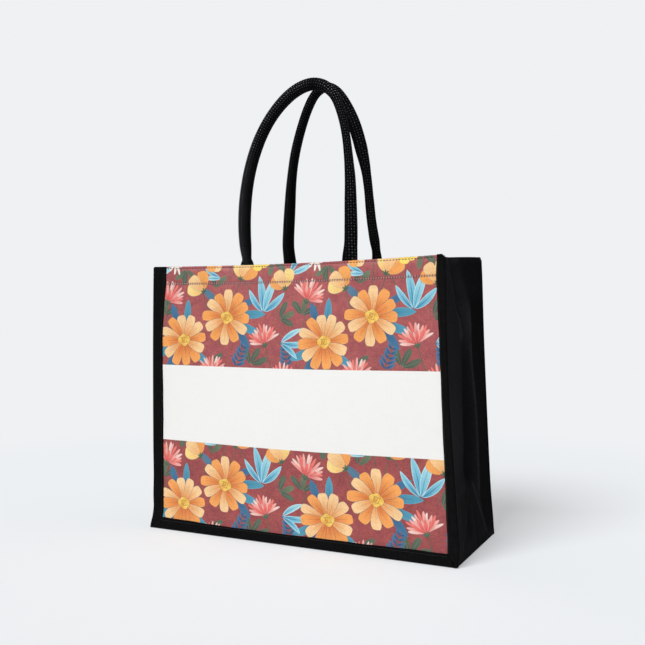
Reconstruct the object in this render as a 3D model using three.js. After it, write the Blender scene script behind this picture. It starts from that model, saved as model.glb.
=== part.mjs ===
// Shopping tote of laminated canvas: two printed panels, two black side gussets
// with a pressed-in centre fold, a black base, black binding strips mitred round
// the panel edges, and two soft round carrying handles sewn inside the top hems.
//
// Millimetres, +Z up. The bag stands on its base at z = 0 with its front panel
// facing -Y. The origin is under the middle of the bag.
import * as THREE from 'three';

// ---------------------------------------------------------------- sizes
const WIDTH = 420;              // across the base
const DEPTH = 170;              // front to back at the base
const HEIGHT = 350;             // nominal height of the body
const CLOTH = 1.6;              // laminated canvas, one ply
const HEM_DEPTH = 23;           // top hem, turned inside and sewn
const STRIP_THICK = 1.2;        // binding strip, proud of the panel
const BASE_STRIP = 14;          // height of the strip along the base
const LAP_GAP = 0.35;           // air between two lapped pieces
const SEAM_GAP = 0.6;           // air at a corner seam
const HANDLE_DIAMETER = 15.6;   // round part of a handle
const HANDLE_SIDES = 12;
const LEAN_SHIFT = 2;           // moves the middle of the outer box onto x = 0

// Upright corner lines of the body. fl, fr, bl, br are the x of the front left,
// front right, back left and back right corners; yf and yb are the y of the
// outer front and back faces there.
const CORNERS = [
  { z: 0,   fl: -210.0, fr: 210.5, bl: -210.0, br: 210.0, yf: -85.0, yb: 85.0 },
  { z: 16,  fl: -211.6, fr: 212.4, bl: -210.4, br: 209.0, yf: -84.6, yb: 84.6 },
  { z: 60,  fl: -210.6, fr: 209.0, bl: -208.6, br: 205.8, yf: -83.2, yb: 83.3 },
  { z: 110, fl: -211.4, fr: 205.0, bl: -208.2, br: 203.6, yf: -81.8, yb: 81.9 },
  { z: 185, fl: -213.4, fr: 199.0, bl: -209.6, br: 200.8, yf: -79.4, yb: 79.6 },
  { z: 260, fl: -215.2, fr: 195.4, bl: -212.0, br: 198.3, yf: -77.0, yb: 77.2 },
  { z: 326, fl: -216.2, fr: 193.4, bl: -213.6, br: 196.8, yf: -74.9, yb: 75.2 },
  { z: 350, fl: -216.4, fr: 192.4, bl: -214.0, br: 196.0, yf: -74.2, yb: 74.6 },
];

// Width of the upright binding strips, which roll a little round the corners.
const STRIP_WIDTHS = [
  { z: 0,   left: 16.0, right: 13.8 },
  { z: 60,  left: 15.8, right: 12.2 },
  { z: 110, left: 15.8, right: 10.4 },
  { z: 185, left: 15.6, right: 8.6 },
  { z: 260, left: 15.8, right: 8.8 },
  { z: 300, left: 17.2, right: 10.4 },
  { z: 326, left: 19.2, right: 11.6 },
  { z: 350, left: 19.8, right: 10.4 },
];

// How each panel hangs: top heights at its left and right corner, the dip of
// the top edge between them, how far the top is drawn inwards at the middle
// and how far the lower part swells outwards.
const PANELS = {
  front: { topLeft: 349.4, topRight: 351.6, dip: 1.6, drawIn: 17, belly: 4 },
  back:  { topLeft: 355.6, topRight: 357.6, dip: 1.2, drawIn: 25, belly: 4 },
};

// Depth of the gusset's centre fold below the line between its corners.
// Under the apex the fold opens into a flat triangle.
const APEX = 80;
const FOLD_DEPTHS = [
  { z: 0,   right: 0.0,  left: 0.0 },
  { z: 80,  right: 7.0,  left: 8.0 },
  { z: 100, right: 12.0, left: 13.0 },
  { z: 172, right: 11.0, left: 12.0 },
  { z: 261, right: 9.0,  left: 9.0 },
  { z: 350, right: 15.0, left: 13.0 },
];

// Arch of each handle: x and z of its middle line from its left sewn end to its
// right one. It leans from y by lean between the sewn end and the crest.
const HANDLES = {
  front: {
    y: -50.9, lean: 17, sewn: 350, top: 578,
    path: [
      [-82.0, 322], [-82.2, 354], [-84.4, 369], [-86.4, 385], [-87.8, 405], [-87.9, 427],
      [-86.5, 448], [-82.8, 472], [-76.8, 495], [-67.8, 518], [-54.7, 541], [-38.5, 560],
      [-22.0, 571.8], [-6, 577.6], [6, 578], [20, 574.3], [31.9, 566.2], [39.5, 555],
      [45.5, 540.5], [50.4, 525], [55, 505], [59.2, 478], [62.2, 452], [63.8, 422.5],
      [65.2, 392.5], [65.6, 372], [64.6, 354], [64.2, 322],
    ],
  },
  back: {
    y: 43.4, lean: -19, sewn: 357, top: 590.5,
    path: [
      [-71.8, 328], [-71.8, 360], [-70.9, 380], [-69.9, 401], [-66.6, 434], [-62.9, 467],
      [-57.1, 499], [-50.2, 523], [-41.6, 546], [-30.5, 568], [-18, 583.6], [-4, 590.5],
      [8, 585], [18.5, 571], [27, 555.5], [35, 536.5], [41.5, 516], [45.6, 498],
      [49.2, 480], [51.9, 458], [53.6, 434.4], [55.4, 410.6], [58.7, 386.6], [61.1, 370.6],
      [62.2, 358], [62.4, 328],
    ],
  },
};

// Section of a handle by the distance from its sewn end: flat where it is sewn
// in, gathered to a neck just above the hem, then round.
const HANDLE_SECTION = [
  { s: 0,  wide: 21.0, thick: 4.4 },
  { s: 22, wide: 21.0, thick: 4.4 },
  { s: 30, wide: 17.5, thick: 6.8 },
  { s: 42, wide: 13.6, thick: 11.4 },
  { s: 60, wide: 15.2, thick: 15.2 },
  { s: 90, wide: HANDLE_DIAMETER, thick: HANDLE_DIAMETER },
];

const COLOURS = {
  print:   { color: 0x8f4449, roughness: 0.55 },
  black:   { color: 0x161618, roughness: 0.8 },
  binding: { color: 0x121214, roughness: 0.75 },
  handle:  { color: 0x0f0f11, roughness: 0.85 },
};

// ---------------------------------------------------------------- helpers
const clamp01 = (t) => Math.min(1, Math.max(0, t));
const ease = (t) => { const c = clamp01(t); return c * c * (3 - 2 * c); };
const mix = (a, b, t) => a + (b - a) * t;

// Value of a column at x, straight between the rows of a table.
function look(table, key, column, x) {
  if (x <= table[0][key]) return table[0][column];
  for (let i = 1; i < table.length; i++) {
    const a = table[i - 1], b = table[i];
    if (x <= b[key]) return mix(a[column], b[column], (x - a[key]) / (b[key] - a[key]));
  }
  return table[table.length - 1][column];
}
const corner = (column, z) => look(CORNERS, 'z', column, z);

const spread = (from, to, count) =>
  Array.from({ length: count + 1 }, (_, i) => mix(from, to, i / count));

// Heights at which every upright piece has a row of vertices.
const ROWS = [0, 16, 60, 85, 110, 147, 185, 222, 260, 293, HEIGHT - HEM_DEPTH, HEIGHT];

function named(name, geometry, look_) {
  geometry.computeVertexNormals();
  const mesh = new THREE.Mesh(geometry, new THREE.MeshStandardMaterial({
    color: look_.color, roughness: look_.roughness, metalness: 0,
  }));
  mesh.name = name;
  return mesh;
}

// Closed solid between two grids of points that share their rows and columns.
// outer[r][c] and inner[r][c] are [x, y, z]; flip turns the faces round.
function shell(outer, inner, flip) {
  const R = outer.length, C = outer[0].length;
  const position = [], index = [];
  for (const grid of [outer, inner]) for (const row of grid) for (const p of row) position.push(...p);
  const at = (side, r, c) => side * R * C + r * C + c;
  const tri = (a, b, c) => (flip ? index.push(a, c, b) : index.push(a, b, c));
  const quad = (a, b, c, d) => { tri(a, b, c); tri(a, c, d); };
  for (let r = 0; r + 1 < R; r++) {
    for (let c = 0; c + 1 < C; c++) {
      quad(at(0, r, c), at(0, r, c + 1), at(0, r + 1, c + 1), at(0, r + 1, c));
      quad(at(1, r, c), at(1, r + 1, c), at(1, r + 1, c + 1), at(1, r, c + 1));
    }
  }
  for (let c = 0; c + 1 < C; c++) {
    quad(at(0, 0, c), at(1, 0, c), at(1, 0, c + 1), at(0, 0, c + 1));
    quad(at(0, R - 1, c), at(0, R - 1, c + 1), at(1, R - 1, c + 1), at(1, R - 1, c));
  }
  for (let r = 0; r + 1 < R; r++) {
    quad(at(0, r, 0), at(0, r + 1, 0), at(1, r + 1, 0), at(1, r, 0));
    quad(at(0, r, C - 1), at(1, r, C - 1), at(1, r + 1, C - 1), at(0, r + 1, C - 1));
  }
  const geometry = new THREE.BufferGeometry();
  geometry.setAttribute('position', new THREE.Float32BufferAttribute(position, 3));
  geometry.setIndex(index);
  return geometry;
}

// ---------------------------------------------------------------- body shape
// u runs 0..1 from the left corner of a panel to its right one; side is
// 'front' or 'back'. inward is +1 for the front panel and -1 for the back one.
const inward = (side) => (side === 'front' ? 1 : -1);
const leftX = (side, z) => corner(side === 'front' ? 'fl' : 'bl', z);
const rightX = (side, z) => corner(side === 'front' ? 'fr' : 'br', z);
const faceY = (side, z) => corner(side === 'front' ? 'yf' : 'yb', z);

function bow(side, u, z) {
  const p = PANELS[side];
  const drawn = p.drawIn * 4 * u * (1 - u) * Math.pow(clamp01((z - 120) / (HEIGHT - 120)), 1.6);
  const belly = p.belly * Math.sin(Math.PI * u) * Math.sin(Math.PI * clamp01(z / 240));
  return drawn - belly;
}
function topOf(side, u) {
  const p = PANELS[side];
  return mix(p.topLeft, p.topRight, u) - p.dip * 4 * u * (1 - u);
}
// Real height of a row at u: rows over half height follow the top edge.
const rise = (row, top) => row + (top - HEIGHT) * ease((row - 180) / (HEIGHT - 180));

// Point of a panel's face, set back from the outer face of its strips.
function facePoint(side, x, row, setBack) {
  const l = leftX(side, row), r = rightX(side, row);
  const u = (x - l) / (r - l);
  const y = faceY(side, row) + inward(side) * (bow(side, u, row) + setBack);
  return [x, y, rise(row, topOf(side, u))];
}

// ---------------------------------------------------------------- panels
function panel(side) {
  const step = 1.2;    // length over which the hem's second ply begins
  const rows = [...ROWS.slice(0, -2), HEIGHT - HEM_DEPTH - step, ...ROWS.slice(-2)];
  const columns = spread(0, 1, 18);
  const setBack = STRIP_THICK + LAP_GAP;
  const grid = (ply) => rows.map((row) => columns.map((u) => {
    const x = mix(leftX(side, row) + 0.9, rightX(side, row) - 0.9, u);
    const plies = row >= HEIGHT - HEM_DEPTH ? 2 : 1;
    return facePoint(side, x, row, setBack + ply * plies * CLOTH);
  }));
  return shell(grid(0), grid(1), side === 'back');
}

// ---------------------------------------------------------------- strips
const MITRE_GAP = 0.4;
function uprightStrip(side, hand) {
  const start = 1.2;
  const rows = [start, ...ROWS.slice(1)];
  const grid = (setBack) => rows.map((row) => {
    const full = look(STRIP_WIDTHS, 'z', hand, row);
    const width = row < BASE_STRIP ? full * (row / BASE_STRIP) - MITRE_GAP : full;
    const edge = hand === 'left' ? leftX(side, row) : rightX(side, row);
    const other = hand === 'left' ? edge + width : edge - width;
    const [a, b] = hand === 'left' ? [edge, other] : [other, edge];
    return [facePoint(side, a, row, setBack), facePoint(side, b, row, setBack)];
  });
  return shell(grid(0), grid(STRIP_THICK), side === 'back');
}
function baseStrip(side) {
  const columns = spread(0, 1, 14);
  const rows = [0, BASE_STRIP];
  const grid = (setBack) => rows.map((row) => {
    const t = row / BASE_STRIP;
    const from = leftX(side, row) + t * look(STRIP_WIDTHS, 'z', 'left', row) + 2 * MITRE_GAP * (1 - t) + MITRE_GAP;
    const to = rightX(side, row) - t * look(STRIP_WIDTHS, 'z', 'right', row) - 2 * MITRE_GAP * (1 - t) - MITRE_GAP;
    return columns.map((u) => facePoint(side, mix(from, to, u), row, setBack));
  });
  return shell(grid(0), grid(STRIP_THICK), side === 'back');
}

// ---------------------------------------------------------------- gussets
// v runs 0..1 from the front corner to the back one.
const GUSSET_INSET = STRIP_THICK + LAP_GAP + 2 * CLOTH + SEAM_GAP;
const BASE_THICK = 1.8;

function foldDepth(hand, v, z) {
  const towards = 1 - Math.abs(v - 0.5) / 0.5;        // 0 at a corner, 1 at the centre
  if (z >= APEX) return look(FOLD_DEPTHS, 'z', hand, z) * towards;
  const leg = z / APEX;                                // where a leg of the triangle is
  const atLeg = look(FOLD_DEPTHS, 'z', hand, APEX) * leg;
  return towards >= leg ? atLeg : atLeg * (towards / Math.max(leg, 1e-6));
}
function gusset(hand) {
  const out = hand === 'right' ? 1 : -1;
  const columns = [0, 0.12, 0.25, 0.375, 0.5, 0.625, 0.75, 0.88, 1];
  const low = BASE_THICK + LAP_GAP;
  const rows = [low, 20, 40, 60, APEX, 100, 125, 155, 185, 222, 260, 293, 326, HEIGHT];
  const grid = (ply) => rows.map((row) => columns.map((v) => {
    const f = corner(hand === 'right' ? 'fr' : 'fl', row);
    const b = corner(hand === 'right' ? 'br' : 'bl', row);
    const y0 = corner('yf', row) + GUSSET_INSET;
    const y1 = corner('yb', row) - GUSSET_INSET;
    const x = mix(f, b, v) - out * (0.5 + foldDepth(hand, v, row) + ply * CLOTH);
    const top = mix(
      hand === 'right' ? PANELS.front.topRight : PANELS.front.topLeft,
      hand === 'right' ? PANELS.back.topRight : PANELS.back.topLeft, v) - 1.2;
    return [x, mix(y0, y1, v), rise(row, top)];
  }));
  return shell(grid(0), grid(1), hand === 'left');
}

// ---------------------------------------------------------------- base
function base() {
  const inset = STRIP_THICK + LAP_GAP + CLOTH + LAP_GAP;
  const shape = new THREE.Shape();
  const x0 = corner('fl', 0) + 0.6, x1 = corner('fr', 0) - 0.9;
  const y0 = corner('yf', 0) + inset, y1 = corner('yb', 0) - inset;
  shape.moveTo(x0, y0);
  shape.lineTo(x1, y0);
  shape.lineTo(x1, y1);
  shape.lineTo(x0, y1);
  shape.closePath();
  return new THREE.ExtrudeGeometry(shape, { depth: BASE_THICK, bevelEnabled: false });
}

// ---------------------------------------------------------------- handles
function handle(side) {
  const h = HANDLES[side];
  const leanAt = (z) => h.y + h.lean * Math.pow(clamp01((z - h.sewn) / (h.top - h.sewn)), 1.2);
  const points = h.path.map(([x, z]) => new THREE.Vector3(x, leanAt(z), z));
  const path = new THREE.CatmullRomCurve3(points, false, 'centripetal');
  path.arcLengthDivisions = 800;
  const length = path.getLength();

  // Stations: close together near the sewn ends, wider over the arch.
  const ends = [0, 12, 22, 26, 30, 36, 42, 50, 60, 75, 90];
  const middle = spread(90, length - 90, 40).slice(1, -1);
  const stations = [...ends, ...middle, ...ends.map((s) => length - s).reverse()];

  const across = new THREE.Vector3(0, 1, 0);
  const rings = stations.map((s) => {
    const t = clamp01(s / length);
    const centre = path.getPointAt(t);
    const along = path.getTangentAt(t);
    const side_ = new THREE.Vector3().crossVectors(across, along).normalize();
    const deep = new THREE.Vector3().crossVectors(along, side_).normalize();
    const fromEnd = Math.min(s, length - s);
    const a = look(HANDLE_SECTION, 's', 'wide', fromEnd) / 2;
    const b = look(HANDLE_SECTION, 's', 'thick', fromEnd) / 2;
    return Array.from({ length: HANDLE_SIDES }, (_, i) => {
      const angle = (i / HANDLE_SIDES) * Math.PI * 2;
      return centre.clone()
        .addScaledVector(side_, a * Math.cos(angle))
        .addScaledVector(deep, b * Math.sin(angle));
    });
  });

  const position = [], index = [];
  for (const ring of rings) for (const p of ring) position.push(p.x, p.y, p.z);
  const N = HANDLE_SIDES, last = rings.length - 1;
  const at = (r, i) => r * N + (i % N);
  for (let r = 0; r < last; r++) {
    for (let i = 0; i < N; i++) {
      index.push(at(r, i), at(r, i + 1), at(r + 1, i + 1), at(r, i), at(r + 1, i + 1), at(r + 1, i));
    }
  }
  for (let i = 1; i + 1 < N; i++) {
    index.push(at(0, 0), at(0, i + 1), at(0, i));
    index.push(at(last, 0), at(last, i), at(last, i + 1));
  }
  const geometry = new THREE.BufferGeometry();
  geometry.setAttribute('position', new THREE.Float32BufferAttribute(position, 3));
  geometry.setIndex(index);
  return geometry;
}

// ---------------------------------------------------------------- the bag
const bag = new THREE.Group();
const body = new THREE.Group();
const carry = new THREE.Group();

for (const side of ['front', 'back']) {
  body.add(named(`${side}_panel`, panel(side), COLOURS.print));
  body.add(named(`${side}_strip_left`, uprightStrip(side, 'left'), COLOURS.binding));
  body.add(named(`${side}_strip_right`, uprightStrip(side, 'right'), COLOURS.binding));
  body.add(named(`${side}_strip_base`, baseStrip(side), COLOURS.binding));
  carry.add(named(`${side}_handle`, handle(side), COLOURS.handle));
}
for (const hand of ['left', 'right']) {
  body.add(named(`${hand}_gusset`, gusset(hand), COLOURS.black));
}
body.add(named('base', base(), COLOURS.black));
bag.add(body, carry);
// The front corners lean a little to the left, so the middle of the outer box
// is not over the middle of the base. This puts it on the origin.
bag.position.set(LEAN_SHIFT, 0, 0);

export default bag;
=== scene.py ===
import math
import random

import bpy
import numpy as np
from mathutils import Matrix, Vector
from mathutils.geometry import delaunay_2d_cdt


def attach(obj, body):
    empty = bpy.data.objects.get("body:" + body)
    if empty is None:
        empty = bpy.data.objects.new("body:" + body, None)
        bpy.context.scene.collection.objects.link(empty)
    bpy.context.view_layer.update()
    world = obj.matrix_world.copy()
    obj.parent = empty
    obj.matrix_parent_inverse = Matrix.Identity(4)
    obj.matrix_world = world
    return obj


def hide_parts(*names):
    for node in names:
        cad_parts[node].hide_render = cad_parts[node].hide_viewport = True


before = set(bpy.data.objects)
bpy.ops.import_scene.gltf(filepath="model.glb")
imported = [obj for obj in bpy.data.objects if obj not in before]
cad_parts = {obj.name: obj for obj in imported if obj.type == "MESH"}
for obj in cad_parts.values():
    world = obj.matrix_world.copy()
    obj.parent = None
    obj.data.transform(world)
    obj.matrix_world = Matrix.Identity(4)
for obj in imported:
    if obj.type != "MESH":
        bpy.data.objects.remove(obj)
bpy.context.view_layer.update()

MM = 0.001

# ------------------------------------------------------------------ sizes, mm
# The same sizes and tables as the part's own source. x is in the part's frame
# once SHIFT is added.
SHIFT = 2.0
HEIGHT = 350.0
HEM = 23.0
PLY = 1.25                   # one ply of laminated canvas as it looks
FACE_SET = 1.55              # panel face behind the face of the strips
BASE_STRIP = 14.0

CORNERS = {
    "z":  [0, 4, 10, 16, 60, 110, 185, 260, 326, 350],
    "fl": [-213.6, -213.2, -211.8, -210.6, -209.4, -211.0, -213.3, -215.2, -216.2, -216.4],
    "fr": [210.5, 211.1, 211.9, 212.4, 209.0, 205.0, 199.0, 195.4, 193.4, 192.4],
    "bl": [-210.0, -210.1, -210.3, -210.4, -208.6, -208.2, -209.6, -212.0, -213.6, -214.0],
    "br": [210.0, 209.8, 209.3, 209.0, 205.8, 203.6, 200.8, 198.3, 196.8, 196.0],
    "yf": [-85.0, -84.9, -84.75, -84.6, -83.2, -81.8, -79.4, -77.0, -74.9, -74.2],
    "yb": [85.0, 84.9, 84.75, 84.6, 83.3, 81.9, 79.6, 77.2, 75.2, 74.6],
}
STRIP_WIDTHS = {
    "z":     [0, 60, 110, 185, 260, 300, 326, 350],
    "left":  [16.4, 17.0, 17.6, 16.8, 15.8, 17.2, 19.2, 19.8],
    "right": [14.1, 12.5, 10.5, 9.0, 9.4, 10.6, 11.7, 10.4],
}
PANELS = {
    "front": dict(top_left=349.4, top_right=351.6, dip=1.6, draw_in=17.0, belly=4.0),
    "back": dict(top_left=355.6, top_right=357.6, dip=1.2, draw_in=25.0, belly=4.0),
}
# Middle line of each handle (x, z), and its real section on the way: the way
# along it from 0 to 1, its width in the plane of the arch and its thickness.
HANDLES = {
    "front": dict(y=-50.9, lean=17.0, sewn=350.0, top=578.0, path=[
        (-82.0, 322), (-82.2, 354), (-84.4, 369), (-86.4, 385), (-87.8, 405), (-87.9, 427),
        (-86.5, 448), (-82.8, 472), (-76.8, 495), (-67.8, 518), (-54.3, 540.8), (-37.8, 559.4),
        (-21.6, 571.4), (-6, 577.6), (6.6, 578.7), (20.4, 575.0), (31.9, 566.2), (39.5, 555),
        (45.5, 540.5), (50.4, 525), (55, 505), (59.2, 478), (62.2, 452), (63.8, 422.5),
        (65.2, 392.5), (65.6, 372), (64.6, 354), (64.2, 322)],
        section=[(0, 20.2, 4.2), (26, 20.1, 4.2), (32, 18.3, 5.0), (39, 12.8, 8.0), (47, 13.9, 11.5), (60, 15.4, 15.0),
                 (85, 16.2, 15.8), (150, 16.3, 15.6), (200, 15.5, 15.4), (262, 15.0, 15.4), (322, 15.7, 15.0),
                 (352, 14.4, 14.4), (382, 11.2, 13.8), (440, 9.8, 13.2), (470, 10.6, 13.6), (495, 12.8, 14.2),
                 (530, 14.8, 14.8), (562, 15.6, 14.8), (585, 16.7, 12.0), (600, 19.6, 6.2), (610, 20.8, 4.4),
                 (640, 21.0, 4.2)]),
    "back": dict(y=43.4, lean=-19.0, sewn=357.0, top=590.5, path=[
        (-67.6, 328), (-68.4, 352), (-70.0, 366), (-71.2, 380), (-69.9, 401), (-66.6, 434), (-62.9, 467),
        (-57.1, 499), (-50.2, 523), (-41.6, 546), (-31.2, 568), (-19.5, 584.2), (-5, 591.4),
        (8, 585.6), (18.8, 571.2), (27.4, 555.7), (35.4, 536.8), (41.5, 516), (45.6, 498),
        (49.2, 480), (51.9, 458), (53.6, 434.4), (55.4, 410.6), (58.7, 386.6), (61.1, 370.6),
        (62.2, 358), (62.4, 328)],
        section=[(0, 19.6, 4.2), (28, 19.4, 4.2), (38, 18.4, 6.8), (50, 17.3, 11.0), (66, 16.5, 14.6),
                 (100, 15.7, 14.8), (135, 14.5, 14.4), (175, 12.4, 14.2), (215, 11.9, 14.2), (262, 11.6, 14.2),
                 (285, 11.2, 14.4), (312, 13.0, 15.0), (345, 16.8, 15.0), (396, 17.2, 15.0), (416, 17.2, 15.0), (431, 15.4, 14.8),
                 (447, 12.8, 14.4), (457, 11.4, 14.2), (480, 10.8, 13.8), (505, 11.8, 13.6), (530, 12.0, 13.4), (552, 12.6, 12.4), (566, 11.4, 8.4),
                 (576, 13.2, 5.2), (586, 16.0, 4.4), (612, 17.0, 4.2)]),
}
INWARD = {"front": 1.0, "back": -1.0}


# ------------------------------------------------------------------ helpers
def smooth_curve(xs, ys):
    """A curve through the rows of a table with no overshoot between them."""
    xs, ys = np.array(xs, float), np.array(ys, float)
    h = np.diff(xs)
    d = np.diff(ys) / h
    m = np.zeros(len(xs))
    m[0], m[-1] = d[0], d[-1]
    for i in range(1, len(xs) - 1):
        if d[i - 1] * d[i] > 0:
            w1, w2 = 2 * h[i] + h[i - 1], h[i] + 2 * h[i - 1]
            m[i] = (w1 + w2) / (w1 / d[i - 1] + w2 / d[i])

    def at(x):
        x = np.clip(np.asarray(x, float), xs[0], xs[-1])
        i = np.clip(np.searchsorted(xs, x, side="right") - 1, 0, len(xs) - 2)
        t = (x - xs[i]) / h[i]
        return ((1 + 2 * t) * (1 - t) ** 2 * ys[i] + t * (1 - t) ** 2 * h[i] * m[i]
                + t * t * (3 - 2 * t) * ys[i + 1] + t * t * (t - 1) * h[i] * m[i + 1])
    return at


corner = {k: smooth_curve(CORNERS["z"], CORNERS[k]) for k in CORNERS if k != "z"}
strip_width = {k: smooth_curve(STRIP_WIDTHS["z"], STRIP_WIDTHS[k]) for k in ("left", "right")}


def clamp01(t):
    return np.clip(t, 0.0, 1.0)


def ease(t):
    c = clamp01(t)
    return c * c * (3 - 2 * c)


def gauss(x, mid, width):
    return np.exp(-((x - mid) / width) ** 2)


def left_x(side, z):
    bend = 1.5 * gauss(z, 27, 12) if side == "front" else 0.0
    return corner["fl" if side == "front" else "bl"](z) + SHIFT + bend


def right_x(side, z):
    return corner["fr" if side == "front" else "br"](z) + SHIFT


def face_y(side, z):
    return corner["yf" if side == "front" else "yb"](z)


def bow(side, u, z):
    p = PANELS[side]
    drawn = p["draw_in"] * 4 * u * (1 - u) * clamp01((z - 120) / 230) ** 1.6
    return drawn - p["belly"] * np.sin(np.pi * clamp01(u)) * np.sin(np.pi * clamp01(z / 240))


# Soft dents and swells of the cloth (how far inwards, mm): under the sewn
# handle ends, along the hem, and slack waves over the whole face.
def ripple(side, x, z):
    upper = ease((z - 200) / 120)
    if side == "front":
        r = 1.5 * gauss(x, 74, 8) * gauss(z, 318, 20) - 1.1 * gauss(x, 52, 11) * gauss(z, 312, 24)
        r += 1.1 * gauss(x, -70, 8) * gauss(z, 320, 18) - 0.9 * gauss(x, -94, 13) * gauss(z, 310, 26)
        r += 0.7 * gauss(x, -150, 16) * gauss(z, 300, 40) - 0.8 * gauss(x, 130, 22) * gauss(z, 300, 34)
    else:
        r = 1.2 * gauss(x, 68, 9) * gauss(z, 322, 20) - 0.9 * gauss(x, 40, 14) * gauss(z, 310, 26)
        r += 1.3 * gauss(x, -78, 9) * gauss(z, 320, 20) + 0.7 * gauss(x, -140, 18) * gauss(z, 296, 36)
    r += 0.35 * upper * np.sin(x / 19.0 + 0.6 * np.sin(z / 47.0))
    r += 0.40 * np.sin(x / 43.0 + z / 61.0 + (0 if side == "front" else 2)) * np.sin(z / 37.0 + 1.3)
    r += 0.16 * np.sin(x / 11.3 - z / 23.0) * np.sin(z / 17.0 + x / 71.0)
    edge = ease(np.minimum(z, 60) / 30)
    return r * edge


def top_of(side, u):
    p = PANELS[side]
    return p["top_left"] * (1 - u) + p["top_right"] * u - p["dip"] * 4 * u * (1 - u)


def rise(row, top):
    return row + (top - HEIGHT) * ease((row - 180) / (HEIGHT - 180))


def face_point(side, x, row, set_back):
    """Points of a panel's face, behind the strips' outer face by set_back (mm)."""
    l, r = left_x(side, row), right_x(side, row)
    u = (x - l) / (r - l)
    inner = ease(np.minimum(x - l, r - x) / 14.0)
    y = face_y(side, row) + INWARD[side] * (bow(side, u, row) + set_back + inner * ripple(side, x, row))
    return np.stack([x, y, rise(row, top_of(side, u))], -1)


def srgb(r, g, b, k=1.0):
    def one(c):
        c = c / 255.0
        return (c / 12.92 if c <= 0.04045 else ((c + 0.055) / 1.055) ** 2.4) * k
    return (one(r), one(g), one(b))


# ------------------------------------------------------------------ nodes
class Nodes:
    """A short way to write a shader's nodes."""

    def __init__(self, name):
        self.material = bpy.data.materials.new(name)
        self.material.use_nodes = True
        self.tree = self.material.node_tree
        self.tree.nodes.clear()
        self.out = self.tree.nodes.new("ShaderNodeOutputMaterial")
        self.shader = self.tree.nodes.new("ShaderNodeBsdfPrincipled")
        self.tree.links.new(self.shader.outputs[0], self.out.inputs[0])

    def put(self, socket, value):
        if value is None:
            return
        if isinstance(value, bpy.types.NodeSocket):
            self.tree.links.new(value, socket)
        elif isinstance(value, (tuple, list)):
            n = len(socket.default_value)
            socket.default_value = (tuple(value) + (1.0,) * n)[:n]
        else:
            socket.default_value = value

    def node(self, kind, inputs=None, out=0, **props):
        n = self.tree.nodes.new(kind)
        for k, v in props.items():
            setattr(n, k, v)
        for k, v in (inputs or {}).items():
            self.put(n.inputs[k], v)
        return n.outputs[out]

    def math(self, op, a, b=None, c=None, clamp=False):
        return self.node("ShaderNodeMath", {0: a, 1: b, 2: c}, operation=op, use_clamp=clamp)

    def vector(self, op, a, b=None):
        return self.node("ShaderNodeVectorMath", {0: a, 1: b}, operation=op)

    def attribute(self, name, out="Vector"):
        n = self.tree.nodes.new("ShaderNodeAttribute")
        n.attribute_type = "GEOMETRY"
        n.attribute_name = name
        return n.outputs[out]

    def parts(self, vector):
        n = self.tree.nodes.new("ShaderNodeSeparateXYZ")
        self.put(n.inputs[0], vector)
        return n.outputs[0], n.outputs[1], n.outputs[2]

    def join(self, x, y, z=0.0):
        return self.node("ShaderNodeCombineXYZ", {0: x, 1: y, 2: z})

    def noise(self, vector, scale, detail=2.0, rough=0.5, distort=0.0):
        return self.node("ShaderNodeTexNoise", {
            "Vector": vector, "Scale": scale, "Detail": detail, "Roughness": rough, "Distortion": distort})

    def mix(self, factor, a, b, blend="MIX"):
        n = self.tree.nodes.new("ShaderNodeMix")
        n.data_type = "RGBA"
        n.blend_type = blend
        n.clamp_factor = True
        self.put(n.inputs[0], factor)
        self.put(n.inputs[6], a)
        self.put(n.inputs[7], b)
        return n.outputs[2]

    def step(self, value, low, high, to_low=0.0, to_high=1.0):
        return self.node("ShaderNodeMapRange", {
            "Value": value, "From Min": low, "From Max": high, "To Min": to_low, "To Max": to_high},
            interpolation_type="SMOOTHSTEP")

    def bump(self, height, distance, strength=1.0, normal=None):
        return self.node("ShaderNodeBump", {
            "Height": height, "Distance": distance, "Strength": strength, "Normal": normal})

    def scale_colour(self, colour, factor):
        n = self.tree.nodes.new("ShaderNodeVectorMath")
        n.operation = "SCALE"
        self.put(n.inputs[0], colour)
        self.put(n.inputs[3], factor)
        return n.outputs[0]


def weave(n, cloth, pitch, slub=0.35):
    """Height 0..1 of a plain weave in cloth millimetres, uneven as real yarn is."""
    x, y, _ = n.parts(cloth)
    wander = n.noise(cloth, 0.35, 2.0)
    x = n.math("ADD", x, n.math("MULTIPLY", wander, 0.35))
    y = n.math("ADD", y, n.math("MULTIPLY", wander, -0.3))
    k = 2 * math.pi / pitch
    wx = n.math("SINE", n.math("MULTIPLY", x, k))
    wy = n.math("SINE", n.math("MULTIPLY", y, k))
    over = n.math("MULTIPLY", n.math("SINE", n.math("MULTIPLY", x, k / 2)), n.math("SINE", n.math("MULTIPLY", y, k / 2)))
    base = n.math("ADD", n.math("ADD", n.math("MULTIPLY", wx, 0.16), n.math("MULTIPLY", wy, 0.16)),
                  n.math("MULTIPLY", over, 0.2))
    warp = n.noise(n.join(n.math("MULTIPLY", x, 1.5), n.math("MULTIPLY", y, 0.07)), 1.0, 3.0)
    weft = n.noise(n.join(n.math("MULTIPLY", x, 0.07), n.math("MULTIPLY", y, 1.5), 7.0), 1.0, 3.0)
    slubs = n.math("MULTIPLY", n.math("SUBTRACT", n.math("ADD", warp, weft), 1.0), slub * 2.4)
    return n.math("ADD", n.math("ADD", base, 0.5), slubs), slubs


# Rows of stitches: how far apart they start and how much of that is thread.
HEM_STITCH = (3.4, 0.58)
TOP_STITCH = (4.1, 0.56)
TOP_ROW = HEIGHT - 2.8


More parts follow.
